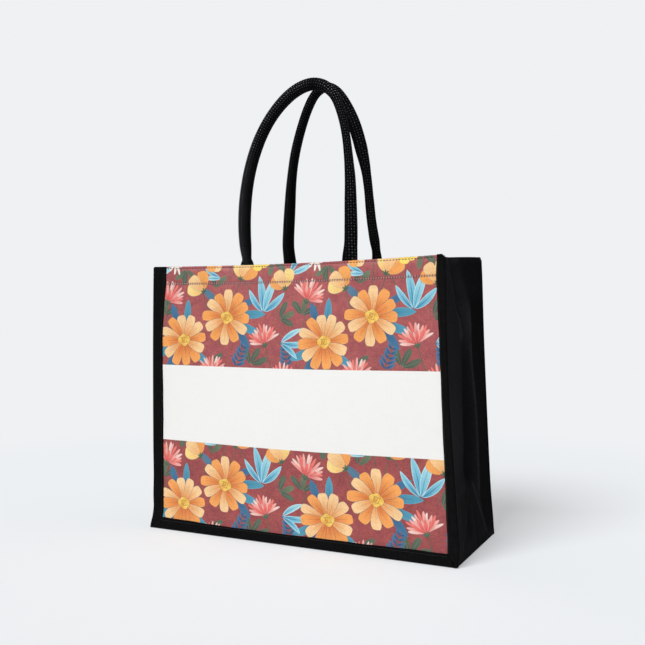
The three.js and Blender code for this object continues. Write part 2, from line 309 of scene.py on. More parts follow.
# ------------------------------------------------------------------ materials
def print_material():
    n = Nodes("printed_canvas_face")
    pqs, lwb, abk, fx = (n.attribute(k) for k in ("pqs", "lwb", "abk", "fx"))
    ca, cb, cr, cm = (n.attribute(k, "Color") for k in ("col_a", "col_b", "col_rim", "col_mid"))
    cloth = n.attribute("cloth")
    p, q, seed = n.parts(pqs)
    length, width, bend = n.parts(lwb)
    ea, eb, streak = n.parts(abk)
    rim, outline, midrib = n.parts(fx)

    # a painted edge is never quite even
    wob = n.math("MULTIPLY", n.math("SUBTRACT", n.noise(cloth, 0.8, 2.0), 0.5), 0.35)
    u = n.math("DIVIDE", p, length)
    u = n.math("MINIMUM", n.math("MAXIMUM", u, 0.002), 0.998)
    v = n.math("SUBTRACT", 1.0, u)
    centre = n.math("MULTIPLY", n.math("MULTIPLY", u, v), n.math("MULTIPLY", bend, 4.0))
    half = n.math("MULTIPLY", width, n.math("MULTIPLY", n.math("POWER", u, ea), n.math("POWER", v, eb)))
    off = n.math("ABSOLUTE", n.math("SUBTRACT", q, centre))
    edge = n.math("ADD", n.math("SUBTRACT", half, off), wob)

    along = n.step(u, 0.05, 0.9)
    colour = n.mix(along, ca, cb)
    # brush streaks that run along each petal or leaf
    lines = n.noise(n.join(n.math("MULTIPLY", q, 1.5), n.math("MULTIPLY", p, 0.16), seed), 1.0, 3.0, 0.6)
    amount = n.math("MULTIPLY", n.math("SUBTRACT", lines, 0.5), streak)
    colour = n.scale_colour(colour, n.math("ADD", 1.0, amount))
    # light rim inside the outline
    r = n.math("MULTIPLY", n.step(edge, 1.25, 0.45), rim)
    colour = n.mix(r, colour, cr)
    # midrib, strongest near the base
    thick = n.math("MULTIPLY", n.step(off, 0.70, 0.12), n.step(u, 1.0, 0.35))
    colour = n.mix(n.math("MULTIPLY", thick, midrib), colour, cm)
    # side veins, faint, only where there is a midrib
    veins = n.math("SINE", n.math("MULTIPLY", n.math("SUBTRACT", p, n.math("MULTIPLY", off, 1.3)), 2.3))
    veins = n.math("MULTIPLY", n.step(veins, 0.55, 1.0), n.math("MULTIPLY", midrib, 0.28))
    colour = n.mix(veins, colour, cm)
    # thin drawn outline
    o = n.math("MULTIPLY", n.step(edge, 0.66, 0.16), outline)
    colour = n.mix(o, colour, srgb(104, 46, 36))

    # washes of paint over the whole cloth, and the ground's own mottling
    wash = n.noise(cloth, 0.045, 4.0, 0.6, 0.6)
    fine = n.noise(cloth, 0.35, 4.0, 0.65)
    tone = n.math("ADD", n.math("MULTIPLY", n.math("SUBTRACT", wash, 0.5), 0.60),
                  n.math("MULTIPLY", n.math("SUBTRACT", fine, 0.5), 0.80))
    is_white = n.attribute("white", "Fac")
    is_ground = n.attribute("ground", "Fac")
    calm = n.math("SUBTRACT", 1.0, n.math("MULTIPLY", is_white, 0.93))
    tone = n.math("MULTIPLY", n.math("MULTIPLY", tone, calm), n.math("ADD", 0.45, n.math("MULTIPLY", is_ground, 0.9)))
    ground2 = n.mix(n.step(n.noise(cloth, 0.09, 3.0, 0.6, 0.5), 0.36, 0.64), colour, srgb(147, 71, 80))
    colour = n.mix(n.math("MULTIPLY", is_ground, 0.62), colour, ground2)
    # painted light: the ground is a little paler above the band, as the upper panel catches more light
    tone = n.math("ADD", tone, n.math("MULTIPLY", n.step(n.parts(cloth)[1], 150.0, 330.0),
                                      n.math("MULTIPLY", is_ground, 0.12)))
    grain = n.math("MULTIPLY", n.math("SUBTRACT", n.noise(cloth, 0.9, 2.0, 0.6), 0.5),
                   n.math("MULTIPLY", calm, n.math("ADD", 0.26, n.math("MULTIPLY", is_ground, 1.15))))
    tone = n.math("ADD", tone, grain)
    colour = n.scale_colour(colour, n.math("ADD", 1.0, tone))
    # painted shade: the ground is a deeper red below the band, where the panel gets less light
    low = n.math("MULTIPLY", is_ground, n.step(n.parts(cloth)[1], 150.0, 105.0))
    colour = n.mix(low, colour, (0.95, 0.84, 0.82), "MULTIPLY")

    height, slubs = weave(n, cloth, 0.9)
    thread = n.math("ADD", 1.0, n.math("MULTIPLY", slubs, n.math("ADD", 0.05, n.math("MULTIPLY", calm, 0.16))))
    colour = n.scale_colour(colour, thread)
    # painted shade in the hollows of the weave
    pits = n.math("MULTIPLY", n.step(height, 0.42, 0.1), n.math("MULTIPLY", calm, 0.10))
    colour = n.mix(pits, colour, srgb(90, 46, 50))

    # needle holes at the hem stitches, dark with painted shade, and painted shade in the crease below them and along
    # the upper row of stitches
    level = n.parts(cloth)[1]
    x_ = n.parts(cloth)[0]

    def gaps(pitch, fill):
        """1 in the gaps between stitches that start at 12 mm, 0 under them."""
        phase = n.math("FRACT", n.math("DIVIDE", n.math("SUBTRACT", x_, 12.0 - 10 * pitch), pitch))
        middle = (1 + fill) / 2
        return n.step(n.math("ABSOLUTE", n.math("SUBTRACT", phase, middle)), (1 - fill) * 0.75, (1 - fill) * 0.3)
    holes = n.math("MULTIPLY", n.step(n.math("ABSOLUTE", n.math("SUBTRACT", level, HEIGHT - HEM)), 1.0, 0.45, 0.0, 0.9),
                   gaps(*HEM_STITCH))
    crease = n.math("MULTIPLY", n.step(n.math("ABSOLUTE", n.math("SUBTRACT", level, HEIGHT - HEM - 1.35)), 1.2, 0.2),
                    n.math("ADD", 0.34, n.math("MULTIPLY", gaps(*HEM_STITCH), 0.36)))
    upper_row = n.math("MULTIPLY", n.step(n.math("ABSOLUTE", n.math("SUBTRACT", level, TOP_ROW)), 0.9, 0.2),
                       n.math("SUBTRACT", 0.62, n.math("MULTIPLY", gaps(*TOP_STITCH), 0.55)))
    dark_line = n.math("MAXIMUM", n.math("MAXIMUM", holes, crease), upper_row)
    colour = n.mix(dark_line, colour, srgb(74, 34, 38))
    # the cloth is near black below 10 mm, under the base strip, so none of the print shows in the mitres
    colour = n.mix(n.step(level, 9.0, 10.5, 1.0, 0.0), colour, srgb(20, 20, 21))

    n.put(n.shader.inputs["Base Color"], colour)
    gloss = n.math("ADD", 0.47, n.math("MULTIPLY", n.math("SUBTRACT", n.noise(cloth, 0.12, 3.0), 0.5), 0.16))
    n.put(n.shader.inputs["Roughness"], gloss)
    n.shader.inputs["Specular IOR Level"].default_value = 0.32
    n.shader.inputs["Coat Weight"].default_value = 0.10
    n.shader.inputs["Coat Roughness"].default_value = 0.38
    film = n.noise(cloth, 0.16, 2.0)
    b1 = n.bump(film, 0.0007, 0.35)
    n.put(n.shader.inputs["Normal"], n.bump(height, 0.00009, 0.9, b1))
    return n.material


def inner_material():
    """The unprinted back of the printed canvas, under a clear film."""
    n = Nodes("printed_canvas_back")
    cloth = n.attribute("cloth")
    height, slubs = weave(n, cloth, 0.9)
    tone = n.noise(cloth, 0.03, 3.0)
    colour = n.mix(tone, srgb(222, 218, 208), srgb(238, 235, 228))
    # painted shade in the hollows of the weave
    colour = n.mix(n.step(height, 0.45, 0.1), colour, srgb(196, 190, 178))
    colour = n.scale_colour(colour, n.math("ADD", 1.0, n.math("MULTIPLY", slubs, 0.12)))
    n.put(n.shader.inputs["Base Color"], colour)
    n.put(n.shader.inputs["Roughness"], n.math("ADD", 0.36, n.math("MULTIPLY", tone, 0.14)))
    n.shader.inputs["Specular IOR Level"].default_value = 0.4
    n.put(n.shader.inputs["Normal"], n.bump(height, 0.00008, 0.8, n.bump(n.noise(cloth, 0.2, 2.0), 0.0006, 0.4)))
    return n.material


def black_material(name, dark, light, pitch=0.8, rough=0.72, spec=0.22, sheen=0.0, depth=0.0001, tone=None):
    n = Nodes(name)
    cloth = n.attribute("cloth")
    height, slubs = weave(n, cloth, pitch, 0.4)
    wash = n.noise(cloth, 0.03, 3.0, 0.55)
    # painted shade and highlight: darker in the hollows of the weave, paler on the yarn tops
    colour = n.mix(n.step(height, 0.15, 0.85), dark, light)
    factor = n.math("ADD", 0.86, n.math("MULTIPLY", wash, 0.28))
    factor = n.math("ADD", factor, n.math("MULTIPLY", slubs, 0.3))
    # painted light and shade: the colour is scaled by a per-point factor when one is given
    if tone:
        factor = n.math("MULTIPLY", factor, n.attribute(tone, "Fac"))
    n.put(n.shader.inputs["Base Color"], n.scale_colour(colour, factor))
    n.put(n.shader.inputs["Roughness"], n.math("ADD", rough - 0.05, n.math("MULTIPLY", wash, 0.1)))
    n.shader.inputs["Specular IOR Level"].default_value = spec
    n.shader.inputs["Sheen Weight"].default_value = sheen
    n.shader.inputs["Sheen Roughness"].default_value = 0.4
    n.put(n.shader.inputs["Normal"], n.bump(height, depth, 0.9, n.bump(n.noise(cloth, 0.12, 2.0), 0.0008, 0.3)))
    return n.material


def handle_material():
    """Diagonal basket weave of flat shiny yarns with painted highlights; cells carries the two yarn directions and a
    painted light factor.
    """
    n = Nodes("handle_weave")
    a, b, lit = n.parts(n.attribute("cells"))
    cloth = n.attribute("cloth")
    fa = n.math("ABSOLUTE", n.math("SINE", n.math("MULTIPLY", a, math.pi)))
    fb = n.math("ABSOLUTE", n.math("SINE", n.math("MULTIPLY", b, math.pi)))
    cell = n.math("MULTIPLY", n.math("POWER", fa, 0.6), n.math("POWER", fb, 0.6))
    # fine fibres along whichever yarn lies on top of a cell
    which = n.math("MODULO", n.math("ADD", n.math("FLOOR", a), n.math("ADD", n.math("FLOOR", b), 4000.0)), 2.0)
    f1 = n.noise(n.join(n.math("MULTIPLY", a, 14.0), n.math("MULTIPLY", b, 1.2), 3.0), 1.0, 2.0)
    f2 = n.noise(n.join(n.math("MULTIPLY", a, 1.2), n.math("MULTIPLY", b, 14.0), 9.0), 1.0, 2.0)
    fibre = n.node("ShaderNodeMix", {0: which, 2: f1, 3: f2}, data_type="FLOAT")
    odd = n.node("ShaderNodeTexWhiteNoise", {
        "Vector": n.join(n.math("FLOOR", a), n.math("FLOOR", b), 1.0)}, out="Value", noise_dimensions="3D")
    # painted highlights: pale glints on the crossings of the near-black yarns
    bright = n.math("MULTIPLY", n.step(cell, 0.76, 0.97), n.math("ADD", 0.6, n.math("MULTIPLY", odd, 0.7)))
    bright = n.math("MULTIPLY", bright, n.math("ADD", 0.6, n.math("MULTIPLY", fibre, 0.8)))
    # painted highlights: the yarns that run one way shine, the others hardly do
    bright = n.math("MULTIPLY", bright, n.math("SUBTRACT", 1.0, n.math("MULTIPLY", which, 0.88)))
    # painted highlights: on the legs that turn away from the light every other crossing of them shows most
    ea = n.math("MODULO", n.math("FLOOR", a), 2.0)
    eb = n.math("MODULO", n.math("FLOOR", b), 2.0)
    pick = n.math("MULTIPLY", n.math("SUBTRACT", 1.0, ea), n.math("SUBTRACT", 1.0, eb))
    pick = n.math("ADD", pick, n.math("MULTIPLY", n.math("MULTIPLY", ea, eb), 0.42))
    sparse = n.math("MULTIPLY", n.step(cell, 0.60, 0.92), n.math("MULTIPLY", pick, lit))
    sparse = n.math("MULTIPLY", sparse, n.math("ADD", 0.7, n.math("MULTIPLY", odd, 0.6)))
    bright = n.node("ShaderNodeMix", {0: n.parts(cloth)[2], 2: bright, 3: sparse}, data_type="FLOAT")
    # painted light and shade: the glints are scaled by the painted light factor, strongest on the outside and top of
    # the arch
    bright = n.math("MULTIPLY", bright, lit)
    colour = n.mix(bright, srgb(7, 7, 8), srgb(132, 132, 138))
    n.put(n.shader.inputs["Base Color"], colour)
    n.shader.inputs["Roughness"].default_value = 0.62
    n.shader.inputs["Specular IOR Level"].default_value = 0.02
    height = n.math("ADD", n.math("MULTIPLY", cell, 0.8), n.math("MULTIPLY", fibre, 0.35))
    n.put(n.shader.inputs["Normal"], n.bump(height, 0.00028, 0.8))
    return n.material


def thread_material(name, colour):
    n = Nodes(name)
    cloth = n.attribute("cloth")
    tw = n.math("SINE", n.math("ADD", n.parts(cloth)[0], n.math("MULTIPLY", n.parts(cloth)[1], 9.0)))
    # painted shade: darker in the grooves of the twist, paler on its turns
    c = n.mix(n.step(tw, -0.6, 0.8), tuple(v * 0.55 for v in colour), colour)
    n.put(n.shader.inputs["Base Color"], c)
    n.shader.inputs["Roughness"].default_value = 0.5
    n.shader.inputs["Specular IOR Level"].default_value = 0.35
    n.put(n.shader.inputs["Normal"], n.bump(tw, 0.00005, 0.7))
    return n.material


# ------------------------------------------------------------------ meshes
def new_object(name, verts_mm, faces, materials, smooth=True, face_material=None):
    mesh = bpy.data.meshes.new(name)
    verts = (np.asarray(verts_mm, float) * MM)
    mesh.from_pydata(verts.tolist(), [], [tuple(int(i) for i in f) for f in faces])
    for m in materials:
        mesh.materials.append(m)
    if face_material is not None:
        mesh.polygons.foreach_set("material_index", np.asarray(face_material, np.int32))
    mesh.polygons.foreach_set("use_smooth", np.full(len(mesh.polygons), smooth))
    mesh.update()
    obj = bpy.data.objects.new(name, mesh)
    bpy.context.scene.collection.objects.link(obj)
    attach(obj, "root")
    return obj


def point_vector(obj, name, values):
    a = obj.data.attributes.new(name, "FLOAT_VECTOR", "POINT")
    a.data.foreach_set("vector", np.asarray(values, np.float32).ravel())


def point_value(obj, name, values):
    a = obj.data.attributes.new(name, "FLOAT", "POINT")
    a.data.foreach_set("value", np.asarray(values, np.float32).ravel())


def grid_faces(rows, cols, start=0, flip=False, wrap=False):
    r = np.arange(rows - 1)[:, None]
    c = np.arange(cols if wrap else cols - 1)[None, :]
    c1 = (c + 1) % cols
    a, b = start + r * cols + c, start + r * cols + c1
    d, e = start + (r + 1) * cols + c, start + (r + 1) * cols + c1
    quads = np.stack([a, b, e, d] if not flip else [a, d, e, b], -1)
    return quads.reshape(-1, 4)


def sweep(rings):
    """Closed solid through rings of points (rings x points x 3), with flat ends."""
    rings = np.asarray(rings, float)
    count, size = rings.shape[:2]
    verts = rings.reshape(-1, 3)
    faces = grid_faces(count, size, wrap=True).tolist()
    faces.append(list(range(size - 1, -1, -1)))
    faces.append([(count - 1) * size + i for i in range(size)])
    return verts, faces


def volume(verts, faces):
    v = np.asarray(verts, float)
    total = 0.0
    by_size = {}
    for f in faces:
        by_size.setdefault(len(f), []).append(f)
    for size, group in by_size.items():
        g = np.array(group)
        a = v[g[:, 0]]
        for i in range(1, size - 1):
            total += np.einsum("ij,ij->", a, np.cross(v[g[:, i]], v[g[:, i + 1]]))
    return total / 6.0


def outward(verts, faces):
    """The faces, turned round if they point into the solid."""
    if volume(verts, faces) < 0:
        return [list(f)[::-1] for f in faces]
    return faces


# ------------------------------------------------------------------ the print
# A repeat of common garden flowers and leaves, laid out one by one. Every petal or
# leaf is one stroke: a curved midrib with a width that swells and tapers.
CLOTH_W = 411.0
TILE_W, TILE_H = CLOTH_W / 2, 214.0
HEM_FOLD = 1.5                           # outer radius of the folded top edge
FOLD_START = HEIGHT - HEM_FOLD
FOLD_END = FOLD_START + math.pi * HEM_FOLD
CLOTH_H = FOLD_END + HEM - HEM_FOLD
BAND = (119.0, 218.1)

K = 0.93
MAROON = srgb(168, 88, 86, K)
WHITE = srgb(247, 246, 243, K)


def look(a, b, rim=None, mid=None, fx=(0, 0, 0), streak=0.25):
    return dict(a=srgb(*a, K), b=srgb(*b, K), rim=srgb(*(rim or b), K), mid=srgb(*(mid or a), K),
                fx=fx, streak=streak)


ORANGE = look((226, 122, 60), (252, 170, 92), (255, 214, 160), (160, 76, 38), (0.5, 1.0, 0.34), 0.34)
PEACH = look((238, 160, 92), (254, 212, 156), (255, 235, 205), (182, 100, 56), (0.6, 1.0, 0.32), 0.30)
BUD_ORANGE = look((240, 158, 84), (250, 172, 92), (254, 206, 150), None, (0.45, 0.45, 0.0), 0.22)
BUD_PEACH = look((246, 184, 118), (253, 210, 152), (255, 230, 196), (214, 140, 80), (0.5, 0.45, 0.2), 0.26)
BUD_CREAM = look((248, 196, 118), (254, 222, 142), (255, 236, 190), None, (0.5, 0.45, 0.0), 0.22)
YOLK = look((240, 176, 70), (252, 214, 104), (255, 232, 150), None, (0.35, 0.95, 0.0), 0.22)
AMBER = look((226, 150, 52), (244, 184, 76), (250, 210, 110), None, (0.2, 0.95, 0.0), 0.2)
YELLOW = look((246, 196, 74), (254, 224, 108), (255, 236, 160), (226, 160, 60), (0.35, 0.5, 0.2), 0.2)
CORAL = look((232, 84, 84), (250, 178, 168), (252, 196, 186), (240, 100, 96), (0.55, 0.35, 0.2), 0.3)
RED = look((226, 74, 78), (246, 122, 112), (250, 150, 140), None, (0.3, 0.35, 0.0), 0.3)
PALE = look((242, 132, 122), (254, 218, 206), (255, 230, 222), (244, 150, 140), (0.5, 0.35, 0.2), 0.25)
SKY = look((84, 168, 200), (146, 214, 232), (196, 236, 244), (38, 92, 138), (0.8, 0.0, 0.85), 0.38)
MIST = look((120, 196, 218), (178, 228, 238), (214, 242, 246), (58, 124, 166), (0.8, 0.0, 0.7), 0.32)
TEAL = look((44, 108, 142), (84, 160, 186), (112, 182, 204), (30, 78, 118), (0.4, 0.0, 0.6), 0.36)
NAVY = look((46, 82, 124), (66, 118, 156), (84, 136, 172), (36, 62, 104), (0.35, 0.0, 0.35), 0.34)
SLATE = look((62, 98, 128), (84, 124, 150), (104, 144, 166), (120, 160, 176), (0.25, 0.0, 0.6), 0.3)
FOREST = look((70, 84, 74), (92, 106, 88), (104, 118, 98), (126, 144, 118), (0.2, 0.0, 0.6), 0.3)
MOSS = look((92, 106, 86), (114, 126, 100), (126, 138, 112), (92, 110, 82), (0.2, 0.0, 0.5), 0.28)
STEM = look((84, 96, 78), (92, 104, 84), None, None, (0, 0, 0), 0.1)
CALYX = look((68, 94, 76), (88, 114, 92), (100, 126, 102), None, (0.2, 0.2, 0.0), 0.3)
CREAM = look((246, 214, 196), (254, 240, 228), (255, 248, 240), (236, 190, 170), (0.4, 0.3, 0.3), 0.2)

strokes = []


def stroke(x, y, angle, length, half, bend, kind, z, a=0.8, b=0.8):
    strokes.append(dict(x=x, y=y, t=math.radians(angle), L=length, W=half, B=bend, a=a, b=b, look=kind, z=z))


def ahead(x, y, angle, d):
    return x + d * math.cos(math.radians(angle)), y + d * math.sin(math.radians(angle))


def daisy(x, y, radius, petals, turn, seed, z=60):
    rng = random.Random(seed)
    step_ = 360.0 / petals
    for i in range(petals):
        angle = turn + i * step_ + rng.uniform(-2.5, 2.5)
        size = radius * rng.uniform(0.93, 1.04)
        start = radius * 0.10
        sx, sy = ahead(x, y, angle, start)
        wide = radius * rng.uniform(0.188, 0.212) * (12.0 / petals)
        kind = (ORANGE, PEACH)[i % 2] if rng.random() > 0.2 else (ORANGE, PEACH)[rng.randrange(2)]
        stroke(sx, sy, angle, size - start, wide, rng.uniform(-1.0, 1.0), kind,
               z + (0.6 if rng.random() > 0.5 else 0.0) + 0.01 * i, 0.74, 0.26)
    # the middle is a bud of folded yellow petals
    m = radius * 0.185
    for j, (dx, dy, half_l, half_w, a, bend) in enumerate([
            (0.0, 0.0, 1.05, 1.0, 40, 0.0), (-0.42, 0.1, 0.92, 0.50, 76, 0.55), (0.46, -0.02, 0.95, 0.50, 262, 0.55),
            (0.0, -0.52, 0.85, 0.42, 350, -0.45), (0.05, 0.50, 0.80, 0.40, 170, -0.4), (0.03, 0.02, 0.46, 0.30, 60, 0.15)]):
        turn_ = a + turn * 2
        rad = math.radians(turn * 2)
        cx = x + m * (dx * math.cos(rad) - dy * math.sin(rad))
        cy = y + m * (dx * math.sin(rad) + dy * math.cos(rad))
        px, py = ahead(cx, cy, turn_ + 180, half_l * m)
        stroke(px, py, turn_, 2 * half_l * m, half_w * m, bend * m, YOLK if j != 5 else AMBER, z + 3 + 0.1 * j, 0.5, 0.5)


def coral(x, y, angle, size, seed, z=40, spread_=150, count=13):
    """A shaggy bloom seen from its side, paler at the tips."""
    rng = random.Random(seed)
    tips = []
    for i in range(count):
        t = i / (count - 1) - 0.5
        a = angle + t * spread_ + rng.uniform(-3, 3)
        far = size * (1.0 - 0.10 * abs(t) * 2 + rng.uniform(-0.10, 0.05))
        tips.append((abs(t) + rng.uniform(-0.08, 0.08), a, far, i))
    for t, a, far, i in sorted(tips, reverse=True):
        kind = (CORAL, PALE, CORAL, RED)[(i + seed) % 4]
        sx, sy = ahead(x, y, angle, size * 0.05)
        stroke(sx, sy, a, far, size * rng.uniform(0.062, 0.078), rng.uniform(-0.9, 0.9), kind, z + 0.1 * i, 0.95, 0.5)
    for i in range(7):
        a = angle + (i / 6 - 0.5) * 84 + rng.uniform(-3, 3)
        sx, sy = ahead(x, y, a, size * 0.03)
        stroke(sx, sy, a, size * rng.uniform(0.50, 0.74), size * rng.uniform(0.056, 0.07), rng.uniform(-0.4, 0.4),
               (RED, CORAL)[i % 2], z + 2 + 0.1 * ((i * 3) % 7), 0.85, 0.55)
    for i in range(4):
        a = angle + (i / 3 - 0.5) * 130
        sx, sy = ahead(x, y, angle + 180, size * 0.08)
        stroke(sx, sy, a, size * 0.22, size * 0.042, 0.0, CALYX, z + 3 + 0.1 * i, 0.5, 0.8)
    sx, sy = ahead(x, y, angle + 180, size * 0.16)
    stroke(sx, sy, angle, size * 0.22, size * 0.062, 0.0, CALYX, z + 3.6, 0.5, 0.6)


def half_open(x, y, angle, size, seed, z=50, kinds=None):
    """A flower seen from its side, two or three broad petals over a green cup."""
    rng = random.Random(seed)
    kinds = kinds or (BUD_ORANGE, BUD_PEACH, BUD_CREAM)
    for i, (da, k, far, wide) in enumerate([(38, 2, 0.90, 0.27), (-36, 0, 0.97, 0.29), (4, 1, 1.0, 0.30)]):
        a = angle + da + rng.uniform(-4, 4)
        stroke(x, y, a, size * far * rng.uniform(0.97, 1.03), size * wide, (1.8, -1.8, 0.5)[i], kinds[k], z + 0.2 * i,
               0.80, 0.30)
    for i in range(4):
        a = angle + (i / 3 - 0.5) * 120
        sx, sy = ahead(x, y, angle + 180, size * 0.07)
        stroke(sx, sy, a, size * 0.24, size * 0.046, 0.0, CALYX, z + 2 + 0.1 * i, 0.5, 0.8)


def stem(x, y, angle, length, bend, half=0.5, z=5):
    stroke(x, y, angle, length, half, bend, STEM, z, 0.06, 0.06)


def spray(x, y, leaves, kind, z, half=3.6, a=0.75, b=0.85):
    """leaves: (angle, length, bend, how wide)."""
    for i, (angle, length, bend, wide) in enumerate(leaves):
        sx, sy = ahead(x, y, angle, 1.5)
        stroke(sx, sy, angle, length, half * wide, bend, kind[i % len(kind)], z + 0.1 * i, a, b)


def fern(x, y, angle, length, bend_side, seed, kind=NAVY, z=12, size=11.0):
    rng = random.Random(seed)
    count = int(length / 6.0)
    stem(x, y, angle, length, 0.0, 0.4, z - 1)
    for i in range(count):
        d = 3 + i * 6.0
        for s in (-1, 1):
            px, py = ahead(x, y, angle, d)
            stroke(px, py, angle + s * (52 + rng.uniform(-6, 6)) * bend_side, size * (1.05 - 0.5 * i / count),
                   2.1, s * 0.5, kind, z + 0.1 * i, 0.7, 0.6)


def lay_out():
    """One repeat, in millimetres of the cloth: x along it, y up from the base."""
    # low, dark leaves first
    spray(16, 70, [(24, 22, 1.0, 1.0), (74, 24, 0.6, 1.0), (128, 21, -1.0, 1.0)], (FOREST, MOSS, FOREST), 8, 4.0, 0.75, 0.5)
    spray(150, 8, [(60, 23, 0.8, 1.0), (20, 24, -1.0, 1.0), (108, 22, 0.8, 0.95)], (FOREST,), 8, 4.2, 0.75, 0.5)
    spray(92, 106, [(92, 23, 1.0, 1.0), (44, 22, -0.8, 1.0)], (FOREST, MOSS), 8, 4.0, 0.75, 0.5)
    spray(190, 66, [(66, 22, 0.8, 1.0), (22, 21, -0.6, 1.0), (-22, 20, 0.6, 0.95)], (FOREST, MOSS), 8, 4.0, 0.75, 0.5)
    spray(50, 132, [(-52, 22, 0.8, 1.0), (-98, 20, -0.7, 1.0), (-142, 20, 0.7, 0.9)], (MOSS, FOREST), 8, 3.9, 0.75, 0.5)
    spray(176, 142, [(-40, 22, 0.6, 1.0), (-100, 20, 0.6, 0.9)], (FOREST, MOSS), 8, 4.0, 0.75, 0.5)
    spray(88, 10, [(150, 20, 0.8, 0.9), (28, 21, -0.5, 1.0)], (FOREST,), 8, 4.0, 0.75, 0.5)
    fern(128, 4, 68, 30, 1.0, 3, size=13.0)
    fern(204, 6, 100, 30, 1.0, 4, size=12.0)
    # stems
    stem(171, 34, -70, 40, -2.0)
    stem(22, 88, -100, 36, 2.5)
    stem(76, 100, -66, 36, -2.0)
    stem(130, 118, -112, 30, 2.0)
    stem(112, 150, -92, 50, 3.0)
    stem(196, 102, -106, 36, -3.0)
    stem(34, 156, -78, 48, 2.5)
    stem(150, 86, 120, 40, -3.0)
    # dark and teal leaves round the daisies
    spray(48, 38, [(206, 50, 1.6, 1.2), (240, 52, -1.4, 1.15), (276, 46, 1.0, 1.1), (322, 50, -1.8, 1.15),
                   (112, 50, 1.2, 1.15), (84, 52, -1.0, 1.1), (184, 46, 1.2, 1.0)],
          (TEAL, NAVY, MOSS, TEAL, NAVY, TEAL, TEAL), 18, 4.6, 1.5, 0.8)
    spray(112, 68, [(4, 56, 1.4, 1.2), (-22, 54, -1.2, 1.15), (134, 52, -1.4, 1.1), (-48, 52, 1.2, 1.1), (30, 50, 1.2, 1.0)],
          (TEAL, TEAL, SLATE, NAVY, NAVY), 18, 4.6, 1.5, 0.8)
    # light blue sprays
    spray(166, 74, [(128, 36, 1.8, 0.85), (100, 46, -1.4, 1.15), (70, 48, 1.4, 1.2), (40, 37, -1.8, 1.0)],
          (SKY, SKY, MIST, SKY), 30, 4.7, 0.8, 0.8)
    spray(192, 36, [(30, 34, 1.8, 0.9), (-2, 36, -1.6, 0.95), (-38, 30, 1.6, 0.85)], (MIST, SKY, SKY), 30, 4.1, 0.8, 0.8)
    spray(-4, 122, [(58, 36, 1.6, 0.95), (22, 34, -1.5, 0.9)], (SKY, MIST), 30, 4.3, 0.8, 0.8)
    spray(102, 118, [(150, 27, 1.0, 0.85), (178, 25, -1.0, 0.8)], (SKY, MIST), 28, 3.8, 0.8, 0.8)
    # blooms
    coral(170, 34, 108, 27.0, 21)
    coral(22, 88, 66, 27.5, 22)
    coral(92, -6, 86, 25.0, 24)
    coral(196, -12, 98, 24.0, 25, count=11)
    half_open(76, 102, 136, 28.0, 31)
    half_open(130, 118, 66, 27.0, 32)
    half_open(196, 104, 112, 26.0, 34, kinds=(BUD_CREAM, BUD_PEACH, BUD_ORANGE))
    half_open(94, 148, 232, 22.0, 36, kinds=(BUD_ORANGE, BUD_ORANGE, BUD_PEACH))
    half_open(158, 152, -104, 24.0, 35, kinds=(YELLOW, YELLOW, YELLOW))
    for i, a in enumerate((-70, -92, -118)):
        stroke(30 + i * 2.5, 150, a, 27 - 2 * i, 2.0, 0.8, CREAM, 45 + i, 0.3, 0.3)
    daisy(48, 38, 35.0, 12, 8, 41)
    daisy(112, 68, 36.0, 12, -4, 42, z=70)
    daisy(12, 176, 26.0, 12, 12, 43)
    daisy(196, 170, 24.0, 12, 12, 44)


def outline_of(s, n=15):
    u = (1 - np.cos(np.pi * np.arange(n + 1) / n)) / 2
    peak = s["a"] / (s["a"] + s["b"])
    norm = 1.0 / (peak ** s["a"] * (1 - peak) ** s["b"])
    s["Wn"] = s["W"] * norm
    w = s["Wn"] * np.clip(u, 1e-9, 1) ** s["a"] * np.clip(1 - u, 1e-9, 1) ** s["b"]
    c = s["B"] * 4 * u * (1 - u)
    p = u * s["L"]
    down = np.stack([p, c - w], -1)
    up = np.stack([p, c + w], -1)[::-1]
    ring = np.concatenate([down, up[1:-1] if s["a"] > 0.2 else up])
    keep = [0]
    for i in range(1, len(ring)):
        if np.hypot(*(ring[i] - ring[keep[-1]])) > 0.12:
            keep.append(i)
    ring = ring[keep]
    if np.hypot(*(ring[-1] - ring[0])) < 0.12:
        ring = ring[:-1]
    ct, st = math.cos(s["t"]), math.sin(s["t"])
    return np.stack([s["x"] + ring[:, 0] * ct - ring[:, 1] * st, s["y"] + ring[:, 0] * st + ring[:, 1] * ct], -1)


def print_layout():
    """The strokes of one repeat, for the cloth below the band and above it,
    lowest first, with their outlines."""
    lay_out()
    zones = []
    for lift, (low, high) in ((0.0, (0.0, BAND[0])), (TILE_H, (BAND[1], CLOTH_H))):
        placed = []
        for ix in (-1, 0, 1):
            for s in strokes:
                c = dict(s)
                c["x"] = s["x"] + ix * TILE_W
                c["y"] = s["y"] + lift
                ring = outline_of(c, 6 if s["look"] is STEM else 13)
                lo, hi = ring.min(0), ring.max(0)
                if hi[0] < 0.05 or lo[0] > TILE_W - 0.05 or hi[1] < low + 0.2 or lo[1] > high - 0.2:
                    continue
                c["ring"] = ring
                placed.append(c)
        placed.sort(key=lambda c: c["z"])
        zones.append((low, high, placed))
    return zones


